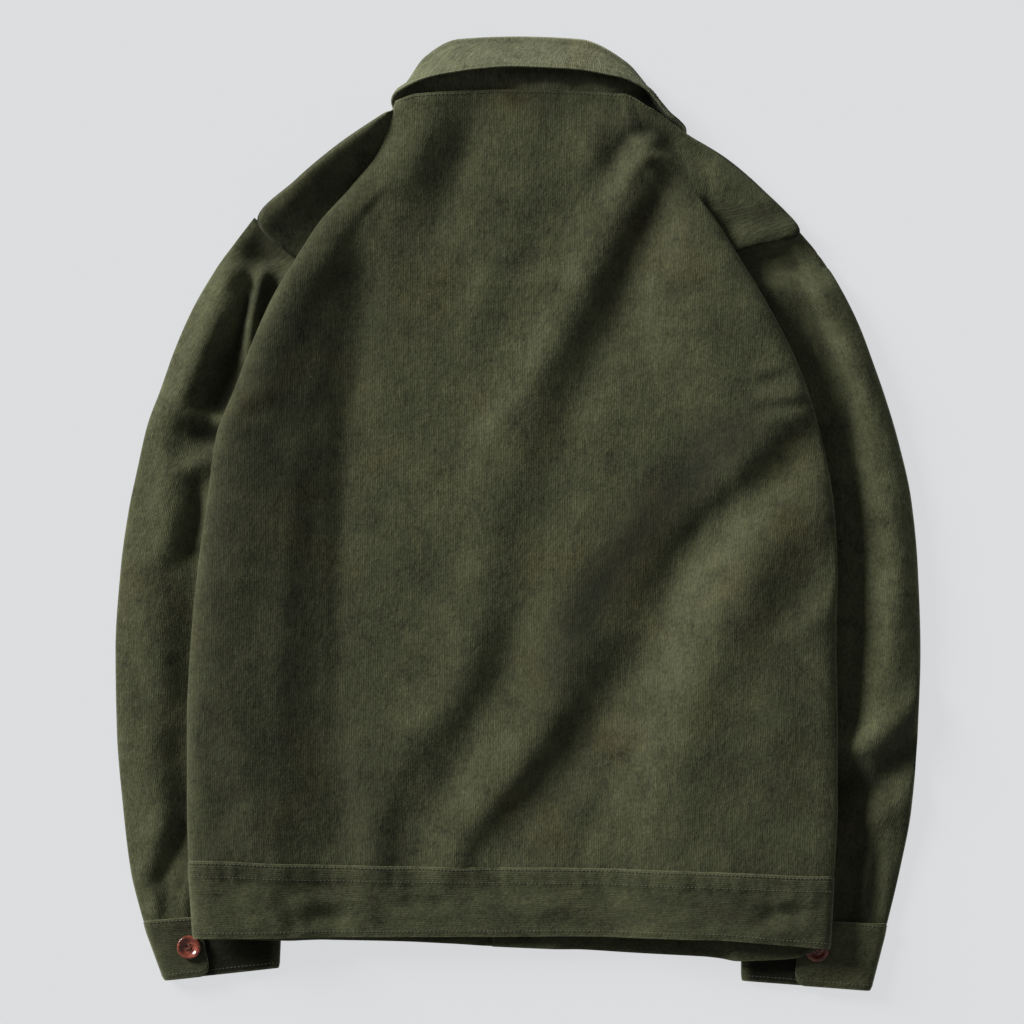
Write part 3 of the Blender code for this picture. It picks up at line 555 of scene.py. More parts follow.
def normals(points, outward):
    """Unit normals of a grid, on the side that outward says."""
    found = np.cross(np.gradient(points, axis=1), np.gradient(points, axis=0)) * outward
    return found / np.maximum(np.linalg.norm(found, axis=2, keepdims=True), 1e-9)


def arcs(points, axis):
    """Distances over the cloth from the grid's first row (axis 0) or first column (axis 1)."""
    step = np.linalg.norm(np.diff(points, axis=axis), axis=2)
    total = np.cumsum(step, axis=axis)
    return np.concatenate([np.zeros_like(np.take(total, [0], axis=axis)), total], axis=axis)


def smooth_route(route, count=22):
    """Points along a smooth curve through the route, and how strong the crease is at each."""
    p = np.array(route, float)
    p = np.vstack([2 * p[0] - p[1], p, 2 * p[-1] - p[-2]])
    out = []
    for i in range(1, len(p) - 2):
        for t in np.linspace(0, 1, max(3, count // (len(p) - 3)), endpoint=False):
            a, b, c, d = p[i - 1 : i + 3]
            square, cube = 2 * a - 5 * b + 4 * c - d, 3 * b - a - 3 * c + d
            out.append(0.5 * (2 * b + (c - a) * t + square * t**2 + cube * t**3))
    out = np.array(out + [p[-2]])
    if out.shape[1] == 3:
        return out[:, :2], np.clip(out[:, 2], 0, None)
    run = np.concatenate([[0], np.cumsum(np.linalg.norm(np.diff(out, axis=0), axis=1))])
    share = run / run[-1]
    return out, ease(np.minimum(share, 1 - share) * 3.6 + 0.15)


def crease_field(x, y, creases):
    """How far a table of folds or creases raises the cloth at each point."""
    total = np.zeros_like(x)
    for crease in creases:
        path, strength = smooth_route(crease.route)
        reach = 3.4 * crease.width
        low, high = path.min(axis=0) - reach, path.max(axis=0) + reach
        near = (x > low[0]) & (x < high[0]) & (y > low[1]) & (y < high[1])
        if not near.any():
            continue
        p = np.stack([x[near], y[near]], axis=1)
        best = np.full(len(p), 1e9)
        fade = np.zeros(len(p))
        for a, b, s, e in zip(path[:-1], path[1:], strength[:-1], strength[1:]):
            run = b - a
            t = np.clip(((p - a) @ run) / (run @ run), 0, 1)
            off = p - (a + t[:, None] * run)
            gap = np.hypot(off[:, 0], off[:, 1])
            closer = gap < best
            best = np.where(closer, gap, best)
            fade = np.where(closer, s + t * (e - s), fade)
        total[near] += crease.height * fade * np.exp(-((best / crease.width) ** 2) / 2)
    return total


def rumple(points, size, height, seed):
    """Uneven shallow hollows and swellings of about this size."""
    flat = points.reshape(-1, 3) / size
    found = [noise.noise(Vector((x, y, z + seed))) for x, y, z in flat.tolist()]
    return height * np.array(found).reshape(points.shape[:2])


def ripple(distance, size, seed):
    """Uneven waves along a seam, from -1 to 1."""
    flat = (distance / size).ravel()
    found = [noise.noise(Vector((s, seed, 0))) for s in flat.tolist()]
    return 1.6 * np.array(found).reshape(distance.shape)


Crease = namedtuple("Crease", "height width route")
BACK_CREASES = [
    # sharper turns in the long folds
    Crease(-2.5, 6, [(119, 268, 0.5), (101, 232, 1), (81, 192, 1), (60, 152, 0.2)]),
    Crease(-1.6, 6, [(206, 46, 0.2), (182, 28, 1), (158, 6, 1), (134, -18, 0.8), (112, -42, 0.2)]),
    Crease(-2.0, 6, [(52, -148, 0.1), (27, -192, 1), (2, -222, 1), (-26, -252, 0.8), (-38, -270, 0.5)]),
    Crease(-1.6, 7, [(6, -66, 0.1), (-6, -105, 1), (-20, -138, 0.9), (-44, -168, 0.2)]),
    Crease(1.6, 7, [(36, 148, 0), (8, 100, 1), (-20, 62, 1), (-36, 20, 0.2)]),
    # dents and short ridges round the top of the long fold
    Crease(-4.0, 6, [(66, 258, 0.1), (76, 276, 0.9), (88, 290, 1), (103, 296, 1), (119, 289, 1),
                     (128, 274, 0.3)]),
    Crease(3.5, 3.2, [(84, 283, 0.6), (95, 291, 1), (106, 291, 0.5)]),
    Crease(3.5, 5, [(106, 292, 0.9), (92, 272, 1), (76, 244, 0.3)]),
    Crease(2.0, 6, [(64, 310, 0.4), (58, 286, 1), (48, 258, 0.1)]),
    Crease(3.5, 3.5, [(100, 276, 0.6), (110, 277, 1), (122, 268, 1), (130, 256, 0.5)]),
    Crease(-1.4, 9, [(40, 320, 0.4), (30, 300, 1), (22, 270, 0.2)]),
    # what rises from the waistband
    Crease(1.6, 7, [(-128, -160, 0.1), (-122, -210, 1), (-112, -268, 0.8)]),
    Crease(-1.4, 6, [(-88, -200, 0.1), (-92, -236, 1), (-94, -268, 0.8)]),
    Crease(-1.6, 7, [(-206, -208, 0.1), (-222, -228, 1), (-240, -254, 0.6)]),
    Crease(1.4, 10, [(-222, -168, 0.2), (-212, -190, 1), (-214, -222, 0.5), (-220, -256, 0.3)]),
    Crease(-1.2, 6, [(70, -206, 0.1), (58, -240, 1), (46, -270, 0.7)]),
    Crease(1.0, 6, [(84, -210, 0.1), (74, -242, 1), (66, -270, 0.6)]),
    Crease(0.8, 6, [(132, -232, 0.2), (122, -254, 1), (118, -274, 0.6)]),
    Crease(-1.4, 14, [(152, -150, 0.1), (172, -200, 1), (160, -252, 0.6)]),
    Crease(1.4, 11, [(212, -130, 0.2), (206, -170, 1), (196, -216, 0.4)]),
    # short puckers at the right underarm
    Crease(1.3, 3.0, [(228, 94), (206, 91), (180, 88)]),
    Crease(-1.4, 3.0, [(228, 87), (204, 83), (182, 81)]),
    Crease(1.1, 3.0, [(226, 78), (206, 74), (188, 73)]),
    Crease(-1.1, 3.4, [(214, 108), (198, 104), (184, 100)]),
    Crease(0.9, 3.2, [(208, 118), (192, 112), (178, 112)]),
    Crease(-1.2, 4.0, [(232, 66), (214, 58), (196, 52)]),
    # short ones at the left underarm and edge
    Crease(1.0, 4.0, [(-220, 84), (-206, 92), (-188, 94)]),
    Crease(-0.9, 4.0, [(-222, 70), (-208, 76), (-192, 80)]),
    Crease(0.9, 5.0, [(-246, -60), (-228, -52), (-208, -56)]),
    Crease(-0.9, 5.0, [(-250, -118), (-232, -112), (-214, -116)]),
]
# The cloth between the side seam or armhole and the hidden pleat.
SHOULDER_CREASES = [
    Crease(7.5, 15, [(-112, 306, 0.8), (-136, 290, 1), (-166, 266, 1), (-190, 242, 0.9), (-212, 222, 0.5)]),
    Crease(4.0, 6, [(-112, 304, 0.8), (-136, 288, 1), (-166, 264, 1), (-190, 240, 0.9), (-212, 220, 0.5)]),
    Crease(-2.5, 9, [(-112, 280, 0.6), (-132, 252, 1), (-156, 222, 1), (-172, 200, 1)]),
    Crease(1.5, 5, [(-196, 236, 0.2), (-180, 224, 1), (-164, 216, 0.4)]),
    Crease(3.0, 10, [(140, 276), (172, 250), (206, 228)]),
    Crease(4.5, 6, [(164, 212, 0.6), (190, 218, 1), (214, 222, 1), (226, 226, 0.6)]),
    Crease(-3.0, 5, [(142, 242, 0.8), (150, 232, 1), (160, 222, 0.4)]),
    Crease(2.0, 5, [(152, 246, 0.3), (166, 234, 1), (180, 226, 0.3)]),
]
SLEEVE_CREASES = {
    LEFT: [
        # the deep hollow beside the body, the thin ridge in it and the roll outside it
        Crease(-12.0, 8.5, [(-216, 152, 0.1), (-221, 136, 0.6), (-227, 114, 1), (-234, 94, 1),
                            (-240, 78, 0.6)]),
        Crease(-7.0, 4, [(-207, 178, 0.4), (-213, 158, 1), (-220, 134, 0.5)]),
        Crease(5.0, 8, [(-222, 184, 0.3), (-234, 158, 1), (-248, 120, 1), (-260, 92, 0.8), (-266, 70, 0.3)]),
        Crease(7.0, 3.2, [(-199, 188, 0.5), (-204, 170, 1), (-209, 148, 1), (-212, 122, 0.5)]),
        Crease(-4.0, 4, [(-186, 186, 0.6), (-194, 170, 1), (-200, 154, 0.6)]),
        # the shadowed slope and the lit strip under the armhole seam
        Crease(6.0, 9, [(-196, 244, 0.8), (-212, 222, 1), (-228, 200, 0.9), (-238, 178, 0.2)]),
        Crease(4.0, 5, [(-234, 190, 0.4), (-212, 188, 1), (-190, 184, 1), (-176, 180, 0.6)]),
        Crease(-4.0, 6, [(-222, 206, 0.4), (-204, 202, 1), (-184, 198, 1), (-172, 196, 0.6)]),
        # folds across the sleeve at the elbow
        Crease(5.0, 4, [(-262, 82, 0.3), (-248, 76, 1), (-230, 71, 0.8)]),
        Crease(-6.0, 5.5, [(-258, 66, 0.5), (-246, 61, 1), (-232, 58, 0.8)]),
        Crease(4.0, 6, [(-236, 42, 0.8), (-256, 36, 1), (-270, 26, 0.3)]),
        Crease(2.2, 7, [(-256, 30, 0.3), (-266, 6, 1), (-276, -24, 1), (-290, -52, 0.3)]),
        Crease(-5.0, 4.2, [(-249, 30, 0.3), (-249, 8, 1), (-251, -12, 1), (-256, -24, 0.6)]),
        Crease(-2.4, 5, [(-251, -30, 1), (-260, -34, 0.8), (-268, -38, 0.3)]),
        Crease(-2.0, 7, [(-250, -30, 0.6), (-252, -60, 0.8), (-252, -96, 0.2)]),
        Crease(-1.8, 9, [(-284, 60), (-290, 20), (-300, -10)]),
        Crease(1.6, 10, [(-302, -70), (-286, -112), (-264, -150)]),
        Crease(-1.6, 10, [(-296, -120), (-278, -160), (-262, -200)]),
        Crease(1.4, 9, [(-300, -180), (-284, -206), (-266, -236)]),
        Crease(1.2, 5, [(-272, 110), (-280, 84), (-286, 60)]),
        # at the cuff
        Crease(-4.0, 5, [(-258, -236), (-270, -266), (-284, -296)]),
        Crease(2.2, 6, [(-272, -228), (-286, -262), (-294, -296)]),
        Crease(2.0, 4, [(-250, -270), (-256, -292), (-262, -314)]),
        Crease(-1.8, 4, [(-272, -286), (-275, -300), (-276, -316)]),
        Crease(1.4, 4, [(-284, -290), (-284, -304), (-282, -318)]),
    ],
    RIGHT: [
        # the fold under the armhole seam
        Crease(4.0, 6, [(160, 214, 0.8), (186, 218, 1), (212, 222, 1), (230, 220, 0.3)]),
        Crease(-8.0, 8, [(168, 200, 0.8), (190, 196, 1), (214, 197, 1), (236, 194, 0.5)]),
        Crease(3.0, 8, [(184, 184, 0.3), (208, 178, 1), (232, 170, 1), (250, 156, 0.3)]),
        # the long hollow beside the body and the roll outside it
        Crease(3.0, 9, [(248, 176, 0.4), (272, 110, 1), (288, 40, 1), (296, -40, 1), (294, -110, 0.8),
                        (284, -160, 0.3)]),
        Crease(-8.0, 14, [(206, 160, 0.2), (230, 120, 0.8), (250, 70, 1), (264, 0, 1), (268, -60, 1),
                          (263, -115, 0.8), (255, -152, 0.3), (254, -176, 0), (259, -206, 0.5),
                          (262, -240, 1), (263, -280, 1), (260, -314, 0.7)]),
        Crease(-1.6, 7, [(270, 96), (284, 60), (288, 20)]),
        Crease(1.2, 8, [(302, -20), (296, -60), (288, -96)]),
        # folds across the lower sleeve
        Crease(6.5, 9, [(244, -182, 0.9), (262, -184, 1), (290, -168, 1), (312, -144, 0.8)]),
        Crease(-5.0, 8, [(252, -224, 0.6), (274, -216, 1), (294, -202, 1), (310, -180, 0.5)]),
        Crease(2.4, 8, [(262, -246, 0.2), (284, -236, 1), (304, -222, 0.6)]),
        Crease(-2.4, 9, [(256, -236), (272, -250), (290, -256)]),
        Crease(-1.4, 6, [(288, -214), (294, -232), (292, -252)]),
        # the pleat at the cuff
        Crease(-3.4, 3.6, [(282, -258), (280, -288), (276, -320)]),
        Crease(2.2, 4, [(274, -262), (271, -290), (268, -320)]),
        Crease(1.6, 4, [(290, -266), (288, -292), (283, -320)]),
        Crease(-1.6, 5, [(256, -276), (256, -298), (252, -318)]),
    ],
}
BAND_CREASES = [
    Crease(2.2, 5, [(-176, -306), (-150, -300), (-122, -304), (-104, -318)]),
    Crease(-2.4, 5, [(-170, -318), (-150, -312), (-130, -316)]),
    Crease(-1.9, 5, [(-190, -292), (-178, -310), (-172, -328)]),
    Crease(1.4, 6, [(-214, -290), (-206, -306), (-204, -326)]),
    Crease(-1.6, 4, [(-96, -300), (-76, -304), (-50, -300)]),
    Crease(1.4, 6, [(-40, -304), (0, -308), (44, -306)]),
    Crease(-1.4, 6, [(10, -318), (54, -322), (96, -320)]),
    Crease(1.9, 5, [(196, -306), (214, -298), (236, -302)]),
    Crease(-2.4, 5, [(186, -318), (206, -308), (226, -314)]),
    Crease(1.6, 5, [(178, -330), (204, -324), (232, -328)]),
    Crease(-1.4, 6, [(120, -300), (140, -312), (150, -326)]),
]
COLLAR_CREASES = [
    Crease(8.0, 4.5, [(-16, 334, 0.2), (4, 337, 0.8), (24, 338, 1), (38, 336, 0.8)]),
    Crease(7.0, 4.5, [(44, 335, 0.6), (62, 337, 1), (80, 331, 0.9), (92, 326, 0.3)]),
    Crease(-2.0, 4, [(40, 344, 0.8), (41, 336, 1), (42, 330, 0.5)]),
]

# Painted shade and painted light: the share by which each route darkens the cloth's colour where it lies in
# shade, or lightens it where it faces the light.
BODY_PAINTED_LIGHT_AND_SHADE = [
    Crease(-0.36, 22, [(-204, 110, 0.6), (-220, 40, 1), (-230, -40, 1), (-236, -160, 1), (-236, -262, 0.8)]),
    Crease(-0.32, 24, [(-146, 206, 0.5), (-158, 120, 0.9), (-168, 40, 1), (-172, -60, 1), (-182, -150, 1),
                       (-184, -236, 0.6)]),
    Crease(-0.42, 14, [(204, 76, 0.6), (169, 56, 1), (134, 19, 1), (84, -35, 1), (56, -76, 0.8),
                       (33, -129, 0.5), (9, -160, 0.4)]),
    Crease(-0.22, 22, [(226, 0, 0.4), (210, -60, 1), (204, -120, 1), (196, -180, 0.8), (190, -250, 0.6)]),
    Crease(-0.22, 26, [(-134, -150, 0.4), (-124, -200, 1), (-110, -262, 1)]),
    Crease(0.18, 18, [(24, 190, 0.4), (-4, 140, 1), (-34, 80, 1), (-54, 20, 0.8), (-60, -30, 0.3)]),
    Crease(0.14, 16, [(110, 110, 0.5), (80, 60, 1), (56, 0, 1), (40, -60, 0.6)]),
    Crease(-0.26, 26, [(110, -300, 0.6), (180, -306, 1), (240, -306, 1)]),
    Crease(0.30, 7, [(-94, 324, 1), (-64, 329, 0.8), (-30, 332, 0.2)]),
    Crease(-0.60, 6, [(82, 290, 0.5), (88, 300, 1), (100, 300, 1), (114, 293, 0.9)]),
    Crease(-0.38, 10, [(120, 264, 0.9), (108, 240, 1), (92, 206, 1), (78, 176, 0.8), (58, 134, 0.3)]),
    Crease(-0.28, 10, [(-44, 320, 0.5), (-50, 300, 1), (-62, 270, 1), (-74, 246, 0.5)]),
    Crease(-0.34, 15, [(-128, 272, 0.6), (-146, 256, 1), (-172, 232, 1), (-196, 210, 0.8)]),
    Crease(-0.24, 20, [(-166, 184, 0.5), (-186, 136, 1), (-196, 88, 0.8), (-202, 40, 0.4)]),
    Crease(-0.38, 16, [(160, 72, 0.6), (112, 20, 1), (74, -30, 1), (52, -66, 1), (30, -112, 0.5)]),
    Crease(-0.20, 20, [(40, -40, 0.3), (60, -120, 0.6), (40, -200, 1), (20, -262, 0.8)]),
]
SLEEVE_PAINTED_LIGHT_AND_SHADE = {
    LEFT: [
        Crease(-0.65, 3.6, [(-208, 174, 0.5), (-212, 158, 1), (-219, 134, 0.8), (-223, 120, 0.3)]),
        Crease(-0.65, 8.5, [(-218, 134, 0.2), (-226, 114, 1), (-231, 96, 1), (-236, 86, 0.8)]),
        Crease(-0.55, 5, [(-196, 190, 0.6), (-200, 174, 1), (-204, 156, 0.6)]),
        Crease(0.35, 3, [(-240, 178, 0.3), (-224, 184, 0.8), (-209, 186, 1), (-206, 168, 0.8),
                         (-208, 146, 0.6)]),
        Crease(-0.35, 9, [(-228, 216, 0.7), (-212, 214, 1), (-196, 212, 1)]),
        Crease(0.75, 3.0, [(-249, 76, 0.6), (-242, 81, 1), (-233, 76, 1)]),
        Crease(-0.65, 6, [(-252, 62, 1), (-244, 61, 1), (-234, 64, 1)]),
        Crease(0.20, 9, [(-240, 186, 0.6), (-254, 150, 1), (-268, 100, 1), (-276, 60, 0.5)]),
    ],
    RIGHT: [
        Crease(0.08, 12, [(262, 160, 0.5), (284, 100, 1), (298, 20, 1), (304, -60, 1), (300, -120, 0.5)]),
        Crease(-0.50, 11, [(248, -214, 1), (272, -206, 1), (294, -190, 1), (310, -168, 0.9)]),
        Crease(-0.45, 14, [(262, -236, 0.8), (266, -270, 1), (264, -316, 1)]),
        Crease(0.35, 5, [(252, -168, 1), (262, -172, 1), (276, -166, 0.4)]),
    ],
}
# The cuffs' tabs: painted shade on the left one, painted light on the right one.
CUFF_PAINTED_LIGHT_AND_SHADE = {LEFT: -0.28, RIGHT: 0.1}
# Painted shade on the collar's right end, whose underside lies in shadow.
COLLAR_PAINTED_SHADE = [
    Crease(-1.15, 19, [(98, 342, 0.2), (112, 328, 0.9), (126, 310, 1), (142, 288, 1)]),
    Crease(-0.60, 9, [(100, 352, 0.3), (116, 342, 1), (136, 320, 1), (150, 296, 1)]),
]


# ---------------------------------------------------------------- cloth

EDGE_SHARE = 0.35  # the share of its thickness that the cloth keeps at a free edge
EDGE_TAPER = 4.5  # how far in from the edge it is back to its full thickness


def cloth(name, grid, outward, uv, seam, painted_shading, materials, thickness, missing=None, closed=0):
    """The cloth on a grid of points in millimetres, as a shell with tapered free edges.

    uv holds metres across and along the wales, seam the distance to the nearest edge in millimetres, and
    the painted shading argument how much darker or lighter the colour is painted, as painted shade and
    painted light.
    missing marks left-out cells, and the first closed rows join their last column to their first.
    """
    points = grid.points
    rows, columns = points.shape[:2]
    index = np.arange(rows * columns).reshape(rows, columns)
    a, b, c, d = index[:-1, :-1], index[:-1, 1:], index[1:, 1:], index[1:, :-1]
    order = (a, b, c, d) if outward > 0 else (a, d, c, b)
    quads = np.stack(order, axis=-1)
    quads = quads.reshape(-1, 4) if missing is None else quads[~missing]
    corners = uv.reshape(-1, 2)[quads.ravel()]
    if closed:
        joined = index.copy()
        joined[:closed, -1] = joined[:closed, 0]
        quads = joined.ravel()[quads]
    used, quads = np.unique(quads, return_inverse=True)
    quads = quads.reshape(-1, 4)
    data = bpy.data.meshes.new(name)
    data.from_pydata((points.reshape(-1, 3)[used] * MM).tolist(), [], quads.tolist())
    data.uv_layers.new(name="Wales").data.foreach_set("uv", corners.ravel().astype(np.float32))
    for attribute, values in (("seam", seam * MM), ("painted_shading", painted_shading)):
        stored = data.attributes.new(attribute, "FLOAT", "POINT")
        stored.data.foreach_set("value", values.ravel()[used].astype(np.float32))
    data.polygons.foreach_set("use_smooth", np.ones(len(quads), bool))
    data.update(calc_edges=True)
    uses = np.zeros(len(data.loops), np.int32)
    data.loops.foreach_get("edge_index", uses)
    sharp = data.attributes.new("sharp_edge", "BOOLEAN", "EDGE")
    sharp.data.foreach_set("value", np.bincount(uses, minlength=len(data.edges)) == 1)
    for material in materials:
        data.materials.append(material)
    piece = bpy.data.objects.new(name, data)
    bpy.context.scene.collection.objects.link(piece)
    group = piece.vertex_groups.new(name="Thickness")
    tapered = np.sqrt(seam.ravel()[used] / EDGE_TAPER)
    share = np.round(np.clip(EDGE_SHARE + (1 - EDGE_SHARE) * tapered, 0, 1), 1)
    for level in np.unique(share):
        group.add(np.flatnonzero(share == level).tolist(), float(level), "REPLACE")
    shell = piece.modifiers.new("Cloth thickness", "SOLIDIFY")
    shell.thickness = thickness
    shell.offset = 0
    shell.vertex_group = group.name
    shell.material_offset = 1
    shell.material_offset_rim = 1
    data.update()
    return piece


def edge_reach(points, edges):
    """Distance over the cloth to the nearest of the named edges of the grid."""
    along_rows, across = arcs(points, 0), arcs(points, 1)
    reach = {
        "start": along_rows,
        "end": along_rows[-1:] - along_rows,
        "first": across,
        "last": across[:, -1:] - across,
    }
    return np.min([reach[edge] for edge in edges], axis=0)


def raise_cloth(points, outward, field, share=1.0):
    """Moves the cloth up or down by field where it faces up."""
    facing = np.clip((normals(points, outward)[:, :, 2] - 0.15) / 0.5, 0, 1)
    points[:, :, 2] += field * facing * share


def finished(piece, nodes):
    """Says what moves with the piece and hides the solids that it stands for."""
    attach(piece, "root")
    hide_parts(*nodes)


# What each piece was cut to, flat, in metres and square metres. A sleeve and a cuff count all round.
Cut = namedtuple("Cut", "width length area")


# ---------------------------------------------------------------- stitching

# Rows of topstitching: the edge of the cloth's grid that each follows, and how far in from it.
NECK_ROW = ("end", 2.2)
WAISTBAND_ROWS = (("start", 2.0), ("start", 12.0), ("end", 4.5))
CUFF_ROWS = (("start", 2.0), ("end", 4.5))
COLLAR_ROW = ("last", 5.5)


def seam_path(grid, edge, inset, start, end):
    """Points and columns on the cloth at this distance from an edge, between two columns or rows."""
    points = grid.points if edge in ("start", "end") else grid.points.transpose(1, 0, 2)
    points = points[::-1] if edge in ("end", "last") else points
    along_rows = arcs(points, 0)
    found = []
    for column in range(start, end):
        run = along_rows[:, column]
        i = min(int(np.searchsorted(run, inset)), len(run) - 1)
        t = (inset - run[i - 1]) / max(run[i] - run[i - 1], 1e-6)
        found.append(points[i - 1, column] * (1 - t) + points[i, column] * t)
    return np.array(found)


def stitch_shape(length, radius):
    """One stitch as a small bead of thread, modelled along x and dipping into the cloth at its ends."""
    bpy.ops.object.select_all(action="DESELECT")
    bpy.ops.mesh.primitive_cylinder_add(
        vertices=6, radius=radius, depth=length, rotation=(0, math.pi / 2, 0), location=(0, 0, 0)
    )
    thread = bpy.context.object
    bpy.ops.object.transform_apply(location=False, rotation=True, scale=False)
    bpy.ops.object.mode_set(mode="EDIT")
    bpy.ops.mesh.select_all(action="SELECT")
    bpy.ops.mesh.bisect(plane_co=(length * 0.3, 0, 0), plane_no=(1, 0, 0))
    bpy.ops.mesh.select_all(action="SELECT")
    bpy.ops.mesh.bisect(plane_co=(-length * 0.3, 0, 0), plane_no=(1, 0, 0))
    bpy.ops.object.mode_set(mode="OBJECT")
    for v in thread.data.vertices:
        if abs(v.co.x) > length * 0.45:
            v.co.y *= 0.45
            v.co.z = v.co.z * 0.45 - radius * 0.9
    points = np.array([v.co for v in thread.data.vertices])
    faces = [list(p.vertices) for p in thread.data.polygons]
    bpy.data.objects.remove(thread)
    return points, faces


def stitching(name, routes, pitch, thread, shape):
    """One object of stitches along the routes. A route is points in millimetres and the way that is out."""
    single, faces = shape
    points, polygons = [], []
    for path, out in routes:
        step = np.linalg.norm(np.diff(path, axis=0), axis=1)
        run = np.concatenate([[0], np.cumsum(step)])
        stops = np.arange(pitch / 2, run[-1], pitch)
        centre = np.stack([np.interp(stops, run, path[:, i]) for i in range(3)], axis=1)
        normal = np.stack([np.interp(stops, run, out[:, i]) for i in range(3)], axis=1)
        ahead = np.stack([np.interp(stops + 0.8, run, path[:, i]) for i in range(3)], axis=1)
        behind = np.stack([np.interp(stops - 0.8, run, path[:, i]) for i in range(3)], axis=1)
        x = ahead - behind
        x /= np.linalg.norm(x, axis=1, keepdims=True)
        y = np.cross(normal, x)
        y /= np.linalg.norm(y, axis=1, keepdims=True)
        z = np.cross(x, y)
        axes = np.stack([x, y, z], axis=1)
        placed = np.einsum("vk,nkj->nvj", single, axes) + centre[:, None] * MM
        base = sum(len(p) for p in points)
        points.append(placed.reshape(-1, 3))
        for n in range(len(stops)):
            shift = base + n * len(single)
            polygons += [[shift + i for i in face] for face in faces]
    data = bpy.data.meshes.new(name)
    data.from_pydata(np.concatenate(points).tolist(), [], polygons)
    data.polygons.foreach_set("use_smooth", np.ones(len(polygons), bool))
    data.materials.append(thread)
    piece = bpy.data.objects.new(name, data)
    bpy.context.scene.collection.objects.link(piece)
    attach(piece, "root")
    return piece


def stitch_row(grid, edge, inset, outward, surface, span=None):
    """A route for stitching on the cloth's outer face, at this distance from one of its edges."""
    lines = grid.points.shape[1] if edge in ("start", "end") else grid.points.shape[0]
    start, end = span or (0, lines)
    path = seam_path(grid, edge, inset, start, end)
    deeper = seam_path(grid, edge, inset + 1.5, start, end)
    sense = {"start": 1, "end": -1, "first": -1, "last": 1}[edge] * outward
    out = np.cross(np.gradient(path, axis=0), deeper - path) * sense
    out /= np.maximum(np.linalg.norm(out, axis=1, keepdims=True), 1e-9)
    return path + out * surface, out


# ---------------------------------------------------------------- materials


class Wiring:
    """Adds nodes to a tree, and links or sets their inputs."""

    def __init__(self, tree):
        self.tree = tree

    def put(self, socket, value):
        if isinstance(value, bpy.types.NodeSocket):
            self.tree.links.new(value, socket)
        else:
            socket.default_value = value

    def node(self, kind, inputs=None, **settings):
        made = self.tree.nodes.new(kind)
        for key, value in settings.items():
            setattr(made, key, value)
        for key, value in (inputs or {}).items():
            self.put(made.inputs[key], value)
        return made

    def math(self, operation, *values, clamp=False):
        made = self.node("ShaderNodeMath", operation=operation, use_clamp=clamp)
        for socket, value in zip(made.inputs, values):
            self.put(socket, value)
        return made.outputs[0]

    def noise(self, vector, scale, detail=2.0, roughness=0.5):
        values = {"Vector": vector, "Scale": scale, "Detail": detail, "Roughness": roughness}
        return self.node("ShaderNodeTexNoise", values).outputs["Fac"]

    def span(self, value, low, high, to_low=0.0, to_high=1.0):
        """The value's place between low and high, eased."""
        values = {"Value": value, "From Min": low, "From Max": high, "To Min": to_low, "To Max": to_high}
        return self.node("ShaderNodeMapRange", values, interpolation_type="SMOOTHSTEP").outputs["Result"]

    def mix(self, share, a, b, blend="MIX"):
        made = self.node("ShaderNodeMix", data_type="RGBA", blend_type=blend)
        self.put(made.inputs["Factor"], share)
        self.put(made.inputs[6], a)
        self.put(made.inputs[7], b)
        return made.outputs[2]


def group_with(name, sockets):
    """An empty node group with these (name, direction, kind, default) sockets."""
    tree = bpy.data.node_groups.new(name, "ShaderNodeTree")
    for label, direction, kind, default in sockets:
        socket = tree.interface.new_socket(name=label, in_out=direction, socket_type=kind)
        if default is not None:
            socket.default_value = default
    wiring = Wiring(tree)
    return tree, wiring, wiring.node("NodeGroupInput"), wiring.node("NodeGroupOutput")


